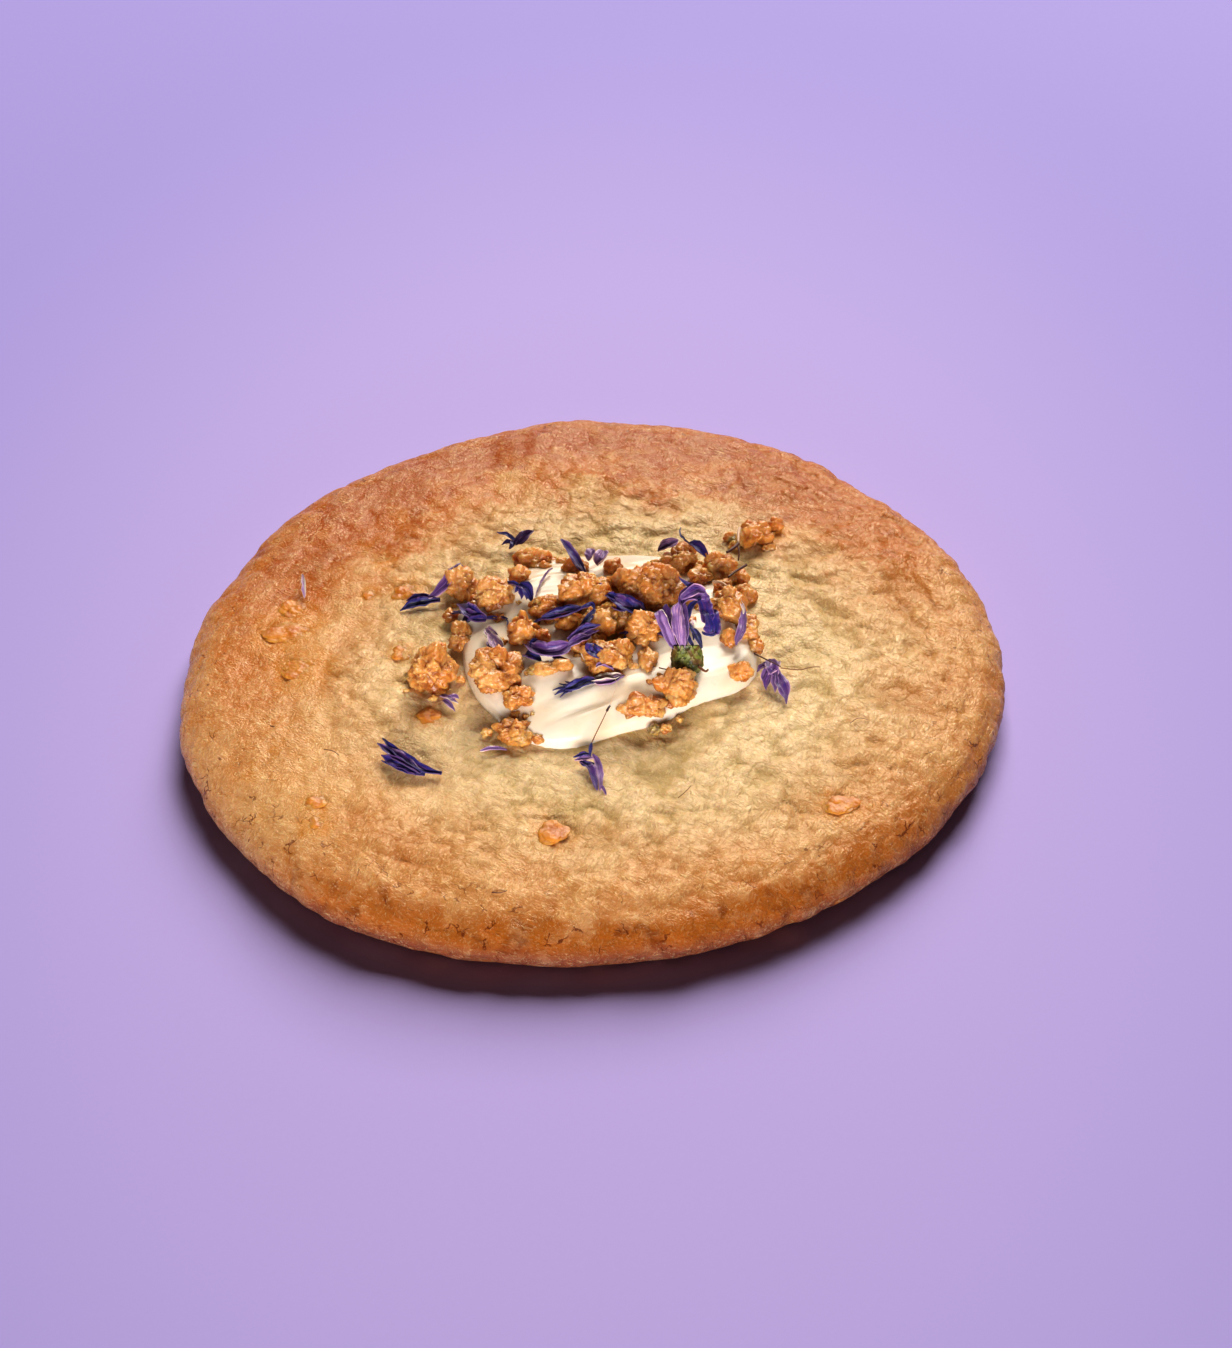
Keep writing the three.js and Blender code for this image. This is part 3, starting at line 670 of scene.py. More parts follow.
def lump_knobs(seed):
    """Middles and radii of the balls that make up a lump of radius 1."""
    draw = draws(seed)
    knobs = []
    for i in range(KNOBS):
        up = 1 - (2 * i + 1) / KNOBS
        angle = i * GOLDEN_ANGLE + seed
        flat = math.sqrt(1 - up * up)
        toward = Vector((flat * math.cos(angle), flat * math.sin(angle), up))
        middle = toward * (0.4 + 0.22 * next(draw))
        knobs.append((middle, 0.38 + 0.14 * next(draw)))
    return knobs


def lump(middle, size, seed, spacing=LUMP_SPACING, roughness=1.0):
    """Balls grown together, covered with grains of pastry. "raised" says how far a point stands out."""
    knobs = lump_knobs(seed)
    half = Vector(size) / 2
    around = math.pi * (size[0] + size[1]) / 2
    shape = facet_ball(max(LEAST_CUTS, round(around / spacing / FACETS_ROUND)))
    raised = shape.verts.layers.float.new("raised")
    reach = min(1, min(size) / FULLY_ROUGH_FROM)
    shift = Vector((9 * seed, 0, 0))
    for point in shape.verts:
        toward = point.co.copy()
        reaches = [CORE]
        for centre, radius in knobs:
            near = toward.dot(centre)
            root = near * near - centre.length_squared + radius * radius
            if root > 0:
                reaches.append(near + math.sqrt(root))
        place = toward * max(reaches) * half
        bent = place + 0.5 * noise.noise_vector(place / 1.5 + shift)
        chunk = packed_bumps(bent + shift, CHUNKS["size"]) - 0.6
        nub = packed_bumps(place + shift + Vector((0, 30, 0)), NUBS["size"]) - 0.6
        ragged = noise.fractal(place / RAGGED["size"] + shift, 0.55, 2.3, 4)
        out = CHUNKS["height"] * chunk + NUBS["height"] * nub + RAGGED["height"] * ragged
        point.co = place + toward * out * reach * roughness
        point[raised] = 0.5 + 0.4 * chunk + 0.25 * nub + 0.5 * ragged + 0.25 * toward.z
    bmesh.ops.translate(shape, vec=middle, verts=shape.verts)
    return shape


def add_shape(whole, part):
    """Adds one shape to another, and lets go of it."""
    mesh = bpy.data.meshes.new("part")
    part.to_mesh(mesh)
    part.free()
    whole.from_mesh(mesh)
    bpy.data.meshes.remove(mesh)


def crumble_finish():
    finish = Finish("pastry_crumble", Subsurface_Weight=0.7, Subsurface_Scale=0.0026, Coat_Weight=0.16)
    finish.shader.inputs["Coat Roughness"].default_value = 0.12
    finish.shader.inputs["Subsurface Radius"].default_value = (1, 0.55, 0.24)
    place = finish.place
    crown = finish.attribute("raised")
    blotch = place.grain(3.2, 3, 0.5).between(0.32, 0.7)
    color = blotch.tint(paint(196, 129, 57), paint(217, 165, 100))
    baked = place.grain(7, 1).between(0.45, 0.65)
    color = (baked * 0.5).tint(color, paint(186, 108, 34))
    # Painted shade in the clumps' hollows and on their lower sides.
    color = (crown.between(0.6, 0.1) * 0.8).tint(color, paint(154, 78, 18))
    # Painted highlight: fine pale glints speckled over the crumbs.
    glint_specks = place.grain(0.3, 2).between(0.56, 0.72) * 0.28
    color = glint_specks.tint(color, paint(252, 222, 160))
    normal = place.grain(0.45, 3).bumped(0.18)
    roughness = 0.2 + 0.26 * place.grain(1.1, 2)
    return finish.feed(Base_Color=color, Roughness=roughness, Normal=normal)


crumble = crumble_finish()
FIRST_SEED = {"cream_crumbs": 31, "clumps": 61, "heap": 101}
for i, (x, y, width, depth, height) in enumerate(CLUMPS):
    z = surface_height(x, y) + height * (0.5 - PRESSED_IN)
    clump = lump(Vector((x, y, z)), (width, depth, height), FIRST_SEED["clumps"] + i)
    finish_piece(clump, f"crumble_clump_{i + 1}", crumble, "crumble", f"crumble_{i + 1}")

strewn = bmesh.new()
for i, (x, y, width, depth, height) in enumerate(CREAM_CRUMBS):
    place = Vector((x, y, surface_height(x, y) + LIFTED["cream_crumbs"] * height))
    seed = FIRST_SEED["cream_crumbs"] + i
    add_shape(strewn, lump(place, (width, depth, height), seed, FINE_SPACING))
finish_piece(strewn, "cream_crumbs", crumble, "crumble", "cream")

# Smaller ones lie between the clumps and join them to one heap.
for i, (x, y, width, depth, height) in enumerate(HEAP):
    z = surface_height(x, y) + LIFTED["heap"] * height
    piece = lump(Vector((x, y, z)), (width, depth, height), FIRST_SEED["heap"] + i)
    finish_piece(piece, f"heap_crumb_{i + 1}", crumble, "crumble")

bits = bmesh.new()
draw = random.Random(11)
for x, y, width, depth, height in CLUMPS:
    for _ in range(BITS_ROUND_A_CLUMP):
        turn, out = draw.uniform(0, math.tau), draw.uniform(0.48, 0.66)
        size = draw.uniform(*BIT_SIZES)
        bit_x, bit_y = x + out * width * math.cos(turn), y + out * depth * math.sin(turn)
        if any(abs(bit_x - clear_x) < CLEAR_HALF_WIDTH and abs(bit_y - clear_y) < CLEAR_HALF_DEPTH
               for clear_x, clear_y in KEPT_CLEAR):
            continue
        place = Vector((bit_x, bit_y, surface_height(bit_x, bit_y) + LIFTED["bits"] * size))
        flat = BIT_FLATNESS * size
        add_shape(bits, lump(place, (size, flat, flat), draw.randrange(*BIT_SEEDS)))
finish_piece(bits, "crumble_bits", crumble, "crumble")

# ---- Melted crumbs ------------------------------------------------------------------------------
# Crumbs that fell on the crust before it was baked. They have melted into it, flat, glossy and golden,
# and the crust round each has taken up some of the same glaze.

MELTED_SPREAD = (1.35, 1.5, 0.5)  # width, depth and height, as shares of the crumb's own
MELTED_SUNK = 0.1  # share of its height that its middle lies under the crust
MELTED_ROUGHNESS = 1.1


def glazed_finish():
    finish = Finish("golden_glaze", Subsurface_Weight=0.5, Subsurface_Scale=0.0022, IOR=1.45)
    finish.shader.inputs["Subsurface Radius"].default_value = (1, 0.5, 0.12)
    place = finish.place
    blotch = place.grain(1.6, 3, 0.5).between(0.35, 0.7)
    color = blotch.tint(paint(212, 140, 56), paint(190, 112, 34))
    # Painted shade in the melted crumbs' hollows.
    shaded_hollow = finish.attribute("raised").between(0.5, 0.1)
    color = (shaded_hollow * 0.5).tint(color, paint(178, 96, 22))
    normal = place.grain(0.5, 2).bumped(0.08)
    return finish.feed(Base_Color=color, Roughness=0.3 + 0.25 * place.grain(1.2, 2), Normal=normal)


melted = bmesh.new()
for i, (x, y, width, depth, height) in enumerate(BISCUIT_CRUMBS):
    place = Vector((x, y, surface_height(x, y) - MELTED_SUNK * height))
    size = [spread * own for spread, own in zip(MELTED_SPREAD, (width, depth, height))]
    add_shape(melted, lump(place, size, 1 + i, FINE_SPACING, MELTED_ROUGHNESS))
finish_piece(melted, "biscuit_crumbs", glazed_finish(), "crumble", "biscuit")

# ---- Cornflower florets -------------------------------------------------------------------------
# Dried florets of a cornflower, dropped on the cookie. Each is a few thin pointed lobes that have
# curled and creased in drying, navy to violet with paler edges; some have come apart into loose shreds.

PETAL_THICKNESS = 0.13
PETAL_GRID = {"x_segments": 22, "y_segments": 8}  # along it and across it
DRAWN_WIDTH = 0.9  # share of a petal's listed width that it has when it has curled
CRINKLE = {"size": 0.9, "height": 0.14}
OUTLINES = {  # a petal's width at a share of its length, as a share of its full width
    "leaf": lambda u: 0.1 + 0.9 * math.sin(math.pi * u) ** 0.8,
    "lobe": lambda u: (0.4 + 0.6 * smoothstep(0, 0.4, u)) * (1 - 0.92 * smoothstep(0.5, 1, u)),
    "blade": lambda u: (0.35 + 0.65 * smoothstep(0, 0.4, u)) * (1 - 0.75 * smoothstep(0.78, 1, u)),
    "strip": lambda u: (1 - 0.4 * smoothstep(0.85, 1, u)) * (1 - 0.3 * smoothstep(0.15, 0, u)),
}
PETALS = (  # floret, outline, shade from 0 near black to 1 cream, width, places along the middle
    ("front_left", "lobe", 0.2, 1.3, (
        (-18.8, -26.7, 8.9), (-20.9, -26.1, 9.1), (-23.5, -24, 9.4), (-25.4, -21.8, 9.7), (-26.4, -20.3, 9.8),
    )),
    ("front_left", "lobe", 0.35, 1.8, (
        (-21.4, -26.5, 9.1), (-23.4, -24.8, 9.3), (-25.4, -22.8, 9.5), (-27.1, -21, 9.6),
    )),
    ("front_left", "lobe", 0.25, 1.4, (
        (-21.9, -26.5, 8.9), (-23.7, -25.2, 9.2), (-25.4, -23.9, 9.4), (-26.5, -23.1, 9.4),
    )),
    ("front_left", "lobe", 0.12, 1.1, (
        (-20.9, -26.5, 8.9), (-22.8, -25.9, 9), (-24.7, -24.9, 9.2), (-26.5, -23.9, 9.2),
    )),
    ("front", "leaf", 0.6, 1, ((1, -31.2, 9), (1.1, -28.5, 9.3), (0.8, -26.6, 9.8), (0.2, -25.6, 10.2))),
    ("front", "leaf", 0.4, 1.2, (
        (0.7, -31.1, 9), (0.2, -28.8, 9.3), (-0.4, -27.3, 9.7), (-1.4, -26.7, 9.8),
    )),
    ("front", "lobe", 0.1, 0.7, ((0, -25.9, 10.2), (-0.9, -25.8, 10.3), (-2.1, -26, 10.2))),
    ("front", "lobe", 0.7, 0.8, ((0.3, -26.3, 10), (-1, -26.3, 10), (-2, -26.2, 9.9))),
    ("front", "lobe", 0.05, 0.8, ((0.4, -27, 9.8), (-0.7, -27, 9.8), (-1.4, -26.5, 9.8))),
    ("front", "leaf", 0.1, 0.5, ((0, -26.2, 10.1), (0.1, -25.5, 10.9), (0.2, -24.8, 11.3))),
    ("front", "leaf", 0.55, 0.5, ((1, -31, 9.1), (1.3, -31, 9.3), (1.7, -31.9, 9))),
    ("right", "leaf", 0.5, 1.8, ((23.6, -9.4, 10.6), (24.1, -11.4, 10.8), (24.4, -12.4, 10.3))),
    ("right", "leaf", 0.6, 1.5, ((25, -9.5, 10.2), (24.3, -11.3, 10.7), (23.4, -11.9, 10.5))),
    ("right", "lobe", 0.55, 1.1, ((23.7, -11.1, 10.6), (23, -11.8, 10.1), (22.7, -12.5, 9.5))),
    ("right", "lobe", 0.45, 1.1, ((23.9, -11.5, 10.6), (23.3, -12.7, 10), (23, -13.8, 9.3))),
    ("right", "lobe", 0.65, 1.1, ((24.3, -11.7, 10.4), (24.2, -13.1, 9.9), (24.1, -14.4, 9.3))),
    ("right", "lobe", 0.5, 2, (
        (24.6, -11.5, 10.5), (24.9, -13.5, 10), (25.3, -15, 9.5), (25.3, -16.5, 9.1),
    )),
    ("right", "lobe", 0.4, 0.9, ((23.7, -10.8, 10.7), (22.8, -10.5, 10.3), (22, -10.5, 9.7))),
    ("left", "lobe", 0.5, 1.6, (
        (-16.6, 11.7, 12.5), (-17.7, 10.4, 12.2), (-18.8, 9, 11.5), (-20.5, 7.5, 10.7), (-21.9, 7.2, 10.3),
    )),
    ("left", "lobe", 0.1, 1.5, (
        (-19.7, 6.8, 10.3), (-21.9, 6.8, 9.9), (-23.8, 6.8, 9.6), (-25.2, 6.3, 9.3),
    )),
    ("left", "lobe", 0.15, 0.9, ((-20.8, 7.5, 10.4), (-22.8, 7.9, 10), (-24.4, 7.7, 9.8))),
    ("left_corner", "leaf", 0.1, 0.7, (
        (-14.2, 0, 12.7), (-16.2, 1.1, 12.4), (-18, 3.6, 10.4), (-19.2, 3.3, 10),
    )),
    ("left_corner", "lobe", 0.3, 2.1, (
        (-13.1, -0.4, 12.6), (-14.4, 0, 12.8), (-15.8, 1.2, 12.8), (-17.3, 5.1, 10.8),
    )),
    ("left_corner", "lobe", 0.25, 1.9, (
        (-13.4, -0.4, 12.6), (-14.7, -0.2, 12.5), (-15.7, -0.1, 12), (-16.5, 0.4, 11.5),
    )),
    ("left_corner", "lobe", 0.4, 0.9, ((-13.5, -0.3, 12.7), (-15.3, 0.2, 13.1), (-16.6, 1.4, 12.7))),
    ("left_corner", "leaf", 0.1, 0.5, ((-13.6, -0.3, 12.6), (-11.9, -0.3, 12.5), (-10.3, -0.5, 12.4))),
    ("left_corner", "leaf", 0.1, 0.3, ((-10.7, -0.5, 12.5), (-10.4, -1.3, 12.5), (-10.4, -2.2, 12.4))),
    ("back_left", "lobe", 0.4, 1.5, ((-9.6, 19.4, 9.9), (-8.3, 19.8, 10.6), (-6.8, 20.8, 10.9))),
    ("back_left", "lobe", 0.15, 0.7, ((-9.4, 19.7, 10), (-10.6, 20.3, 10.7), (-12, 21.1, 10.8))),
    ("back_left", "lobe", 0.3, 1.1, ((-9.4, 20.1, 9.9), (-9.8, 18.8, 10), (-10.4, 18.5, 9.6))),
    ("back_left", "lobe", 0.15, 0.6, ((-9.6, 19.6, 9.9), (-10.5, 19.6, 10), (-11.4, 19.5, 9.8))),
    ("back_left", "lobe", 0.3, 0.6, ((-9.3, 19.9, 9.9), (-8.9, 19.9, 10.7), (-8.9, 20.5, 11))),
    ("back_spike", "blade", 0.35, 1.3, (
        (0.1, 6.3, 14), (-0.6, 8.1, 14.4), (-1.6, 10.1, 14.9), (-2.9, 12.3, 15.5),
    )),
    ("back_spike", "blade", 0.7, 0.8, ((0.3, 6.3, 13.7), (-0.5, 7.8, 14.1), (-1.3, 9.2, 14.5))),
    ("back_right", "leaf", 0.15, 0.25, (
        (13.6, 16.2, 13.7), (13.3, 14.4, 14), (13.8, 12.8, 14.2), (14.7, 11.5, 14.1),
    )),
    ("back_right", "leaf", 0.25, 1.4, ((14.4, 11.9, 14.1), (15.7, 10.8, 14.2), (16.9, 9.3, 13.6))),
    ("top_left", "leaf", 0.1, 0.5, (
        (-10.9, 4.8, 13.9), (-9.9, 4.3, 14.7), (-8.6, 3.6, 14.7), (-7.8, 3, 14.4),
    )),
    ("top_left", "lobe", 0.2, 1.7, (
        (-8.7, 4, 14.6), (-7.9, 3.1, 14.5), (-7.3, 2.2, 14.1), (-6.9, 1.4, 13.5),
    )),
    ("top_left", "lobe", 0.3, 1, ((-8.6, 3.7, 14.5), (-8.3, 2.8, 14.1), (-8.5, 2.2, 13.6))),
    ("top_left", "lobe", 0.25, 0.9, ((-8.2, 3.2, 14.5), (-7.8, 2.6, 14), (-7.8, 2, 13.5))),
    ("top_left", "lobe", 0.15, 0.6, ((-9.1, 4, 14.6), (-9, 3.5, 14.3), (-9.3, 3.2, 13.9))),
    ("middle_back", "leaf", 0.1, 0.35, (
        (-6.1, -6.3, 13.2), (-6.8, -5.2, 13.8), (-6.6, -3.8, 14.3), (-5.3, -3.5, 14.6),
    )),
    ("middle_back", "leaf", 0.12, 1.8, (
        (-5.8, -3.6, 14.6), (-3.7, -3.7, 15), (-1.7, -3.5, 15.4), (-0.3, -3, 15.6),
    )),
    ("middle_back", "lobe", 0.25, 1.2, (
        (-5.1, -3, 14.9), (-3.3, -3.1, 15.3), (-1.3, -3.3, 15.6), (0.2, -3, 15.9),
    )),
    ("middle_back", "lobe", 0.05, 0.6, (
        (-0.9, -3.4, 15.6), (0.6, -3.1, 16.2), (1.1, -3.6, 16.3), (1.3, -4.3, 16),
    )),
    ("middle_back", "lobe", 0.05, 1, (
        (1.3, -3.8, 16), (0.6, -5.2, 15.8), (-0.5, -6.4, 15.2), (-2.2, -6.9, 14.4),
    )),
    ("middle_front", "blade", 0.45, 2.2, (
        (-7.9, -7.6, 13.7), (-6.9, -9.3, 14), (-5.2, -10.2, 14.2), (-3.4, -10, 14.4), (-2, -9.1, 14.7),
    )),
    ("middle_front", "lobe", 0.5, 1.4, (
        (-2.6, -9.6, 14.5), (-1.2, -9.1, 15), (0.1, -8.8, 15.3), (0.8, -8.4, 15.6),
    )),
    ("middle_front", "lobe", 0.3, 1.2, (
        (-2.3, -8.7, 14.9), (-0.5, -7.7, 15.6), (0.8, -7.4, 15.9), (2, -7.4, 16.1),
    )),
    ("middle_front", "lobe", 0.4, 1, ((-1.8, -8.8, 14.8), (0, -8.3, 15.5), (1.7, -8.1, 15.8))),
    ("middle_front", "lobe", 0.08, 0.9, ((-7.3, -8.5, 13.9), (-6.8, -7.9, 14.2), (-6, -7.9, 14.3))),
    ("middle_front", "leaf", 0.1, 1.4, ((-8.3, -9.5, 13.3), (-7.2, -10.3, 13.9), (-5.9, -10.9, 13.5))),
    ("middle_front", "leaf", 0.5, 0.9, ((-4.4, -10.6, 13.8), (-3.2, -11.6, 13.9), (-2.3, -12, 13.5))),
    ("middle_right", "blade", 0.2, 2.2, (
        (3.1, -1, 15.8), (4.5, -2.7, 16.1), (6.3, -4.1, 15.8), (8.1, -4.6, 15.2),
    )),
    ("middle_right", "lobe", 0.12, 1, ((4.4, -2.6, 16.2), (3.6, -2, 16.4), (2.7, -1.6, 16.4))),
    ("middle_right", "lobe", 0.4, 1.3, ((6.2, -3.8, 16), (4.9, -2.8, 16.5), (3.9, -2, 16.6))),
    ("middle_right", "lobe", 0.15, 1.2, ((5.4, -4, 15.6), (4.2, -3.1, 15.4), (3.4, -2.3, 15.3))),
    ("middle_right", "leaf", 0.1, 0.45, (
        (6, -4.3, 15.3), (5.7, -6.1, 14.7), (5.3, -7.1, 14.1), (4.6, -8, 13.6),
    )),
    ("middle_right", "leaf", 0.1, 0.3, ((5.5, -6.5, 14.4), (5, -6.8, 14.2), (4.3, -6.5, 14))),
    ("middle_right", "lobe", 0.25, 1.9, (
        (7.3, -4.9, 15.1), (8.7, -5.7, 14.5), (9.7, -6.6, 14), (10.1, -7.4, 13.6),
    )),
    ("middle_right", "lobe", 0.12, 1.1, ((7.5, -5.2, 15.3), (8.6, -5.1, 15), (9.5, -5.3, 14.5))),
    ("middle_right", "lobe", 0.15, 0.9, ((8.2, -5.6, 14.6), (8.5, -6.2, 14.1), (9.3, -6.9, 13.8))),
    ("far_right", "leaf", 0.95, 0.5, ((20.4, -2.1, 15.1), (20.7, -3.3, 14.9), (20.7, -4.6, 14.6))),
    ("far_right", "blade", 0.55, 1.3, (
        (20.8, -3.6, 14.8), (20.7, -5.4, 14.2), (20.3, -7.2, 13.7), (19.4, -9.1, 13.1),
    )),
    ("cream_front", "leaf", 0.1, 1.5, (
        (1.1, -15, 13.4), (-0.3, -15.6, 13.5), (-1.8, -16.4, 13.4), (-2.9, -16.5, 13.2),
    )),
    ("cream_front", "lobe", 0.08, 0.45, ((-2.7, -16.2, 13.2), (-3.2, -16.1, 13.1), (-4.5, -15.9, 12.7))),
    ("cream_front", "lobe", 0.08, 0.45, ((-2.6, -16.6, 13.2), (-3.1, -16.5, 13.1), (-4.3, -16.6, 12.6))),
    ("cream_front", "lobe", 0.08, 0.45, ((-2, -16.9, 13.2), (-2.6, -16.8, 13.2), (-3.6, -17.3, 12.7))),
    ("cream_front", "lobe", 0.08, 0.45, ((-2.2, -16, 13.3), (-2.7, -15.9, 13.2), (-3.7, -14.9, 13))),
    ("cream_front", "lobe", 0.08, 0.45, ((-1.6, -15.9, 13.3), (-2.1, -15.8, 13.3), (-2.9, -14.6, 13))),
    ("cream_front", "blade", 0.6, 1.1, (
        (0.2, -14.9, 13.4), (1.6, -15.4, 13.2), (3.1, -15.5, 13.2), (4.8, -14.8, 13.6),
    )),
    ("cream_front", "leaf", 0.85, 1.3, (
        (0, -15.1, 13.2), (1.6, -15.2, 13.4), (3.1, -14.9, 13.5), (4.4, -14.7, 13.7),
    )),
    ("cream_left", "leaf", 0.86, 1.6, ((-13.3, -2.9, 12.7), (-12.5, -4.4, 13.1), (-11.7, -5.5, 12.9))),
    ("cream_left", "lobe", 0.8, 1.9, (
        (-12.8, -4.1, 13.1), (-12, -6.1, 13), (-11.3, -7.5, 12.9), (-10.8, -8.9, 12.7),
    )),
    ("cream_left", "lobe", 0.72, 1.4, ((-12.4, -5.4, 12.9), (-12.6, -7.1, 12.6), (-13.2, -8.9, 12.2))),
    ("cream_left", "lobe", 0.78, 1.1, ((-12.1, -5.6, 13), (-12, -7.8, 12.8), (-12, -9.3, 12.5))),
    ("loose", "leaf", 0.72, 1.6, ((0.6, 10, 13.5), (1, 10.8, 13.9), (1.3, 11.7, 14.2))),
    ("loose", "leaf", 0.72, 2, ((1.9, 8.7, 13.5), (2.5, 9.5, 14.1), (2.8, 10.8, 14.3))),
    ("loose", "leaf", 0.68, 1.5, ((10.2, 11.4, 13.5), (11.6, 12.1, 13.9), (13, 12.6, 14.2))),
    ("loose", "leaf", 0.7, 0.6, ((0.9, 0.7, 15.9), (1.7, 0.8, 16.4), (2.9, 0.5, 16.3))),
    ("loose", "leaf", 0.8, 0.4, ((-6.6, 2.5, 13.5), (-5.4, 6.4, 13.8), (-4.2, 8.2, 13.9))),
    ("loose", "leaf", 0.95, 0.9, ((-0.7, -10, 14.9), (-0.3, -10.9, 14.3), (0.1, -12, 13.7))),
    ("loose", "leaf", 0.2, 1.9, ((0.2, -11.6, 15.5), (1.1, -12.5, 15.9), (2.2, -12.9, 15.5))),
    ("loose", "lobe", 0.25, 1.1, ((0.6, -12.2, 15.8), (0.5, -11.9, 16.2), (1, -11.4, 16.3))),
    ("loose", "leaf", 0.6, 0.8, ((1.1, -14.1, 14.7), (2.2, -14.3, 15.2), (3.3, -14.8, 14.6))),
    ("loose", "lobe", 0.62, 1, ((-19.3, -12.5, 9.7), (-18.1, -13.3, 10), (-16.9, -13.9, 9.6))),
    ("loose", "lobe", 0.55, 0.7, ((-18.8, -13.3, 9.7), (-17.9, -14.4, 9.8), (-17.3, -15.5, 9.5))),
    ("loose", "lobe", 0.6, 0.6, ((-18.3, -13.1, 10), (-17.3, -13.1, 10.1), (-16.8, -13.3, 9.9))),
    ("loose", "leaf", 0.85, 0.7, ((-39.2, 15.9, 8.9), (-38.6, 12.4, 9.5), (-38.5, 10.8, 8.8))),
    ("loose", "leaf", 0.6, 0.5, ((-14, -23, 9.3), (-12.5, -22.9, 9.6), (-10.6, -23, 9.3))),
)
LYING = Vector((0, -0.3, 0.95))  # the way that the faces of lying petals look
STANDING = Vector((0, -0.77, 0.64))


def along_path(places, share):
    """The place at a share of a smooth path through the listed places, and the way it runs there."""
    last = len(places) - 1
    i = min(last - 1, int(share * last))
    t = share * last - i
    a, b, c, d = (places[min(last, max(0, i + k))] for k in (-1, 0, 1, 2))
    bend, twist = 2 * a - 5 * b + 4 * c - d, 3 * (b - c) + d - a
    place = b + 0.5 * t * (c - a + t * (bend + t * twist))
    return place, (0.5 * (c - a) + t * bend + 1.5 * t * t * twist).normalized()


def petal(places, outline, width, shade, facing, seed):
    """A thin leaf along a path. It is folded along its middle, turns as it goes, and has wavy edges."""
    draw = random.Random(seed)
    fold, wave = draw.uniform(0.5, 1.1), draw.uniform(0.3, 0.7)
    first_turn, turned = draw.uniform(-0.3, 0.3), draw.uniform(-1, 1)
    leaf = bmesh.new()
    bmesh.ops.create_grid(leaf, size=0.5, **PETAL_GRID)
    layers = {name: leaf.verts.layers.float.new(name) for name in ("along", "aside", "shade")}
    places = [Vector(place) for place in places]
    for point in leaf.verts:
        along, side = point.co.x + 0.5, 2 * point.co.y
        place, way = along_path(places, along)
        faces = Matrix.Rotation(first_turn + turned * (along - 0.5), 3, way) @ facing
        aside = faces.cross(way).normalized()
        above = way.cross(aside)
        half = DRAWN_WIDTH / 2 * width * OUTLINES[outline](along)
        ruffle = noise.noise(Vector((5 * along, 1.4 * side, seed)))
        rib = 0.1 * math.cos(4 * math.pi * side)
        lift = fold * abs(side) ** 1.4 + wave * abs(side) * ruffle + rib
        point.co = place + half * (side * aside + lift * above)
        point.co += CRINKLE["height"] * noise.noise_vector(point.co / CRINKLE["size"])
        for name, value in (("along", along), ("aside", side), ("shade", shade)):
            point[layers[name]] = value
    bmesh.ops.solidify(leaf, geom=leaf.faces[:], thickness=PETAL_THICKNESS)
    return leaf


def petals_of(name, rows, facing=LYING):
    """One shape of all the petals that are listed for a floret."""
    whole = bmesh.new()
    for seed, (of, outline, shade, width, places) in enumerate(rows):
        if of == name:
            add_shape(whole, petal(places, outline, width, shade, facing, seed))
    return whole


def cornflower_finish():
    """Dried petal skin: veins along it, paler edges, and the petal's own shade from navy to pink."""
    finish = Finish("dried_petal", Specular_IOR_Level=0.55, Sheen_Weight=0.15)
    place = finish.place
    side, along, shade = (finish.attribute(name) for name in ("aside", "along", "shade"))
    skin = side.node("ShaderNodeCombineXYZ", {}, {0: side, 1: along * 0.2, 2: shade * 9})
    veins = skin.grain(190, 3)
    uneven = place.grain(0.8, 3, 0.6)
    rolled_edge = (side * side).between(0.6, 1.0)
    tone = shade + 0.24 * uneven - 0.1 + 1.1 * (veins - 0.5) + 0.2 * rolled_edge
    color = tone.between(-0.05, 0.22).tint(paint(16, 10, 28), paint(46, 38, 122))
    for low, high, tint in (
        (0.22, 0.45, paint(92, 50, 112)),
        (0.45, 0.75, paint(146, 108, 160)),
        (0.75, 0.92, paint(206, 158, 180)),
        (0.92, 1.02, paint(238, 222, 196)),
    ):
        color = tone.between(low, high).tint(color, tint)
    normal = veins.bumped(0.12, place.grain(0.25, 2).bumped(0.05))
    return finish.feed(Base_Color=color, Roughness=0.26 + 0.3 * uneven, Normal=normal)


dried_petal = cornflower_finish()
for name in dict.fromkeys(row[0] for row in PETALS):
    shape = petals_of(name, PETALS)
    if name == "loose":
        finish_piece(shape, "loose_petals", dried_petal, "cornflower")
    else:
        finish_piece(shape, "dried_" + name, dried_petal, "cornflower", "floret_" + name)

# ---- Stamen threads -----------------------------------------------------------------------------
# Hair-thin stamens and shreds of stalk that stick out of the florets and the bud, or lie on the crust.

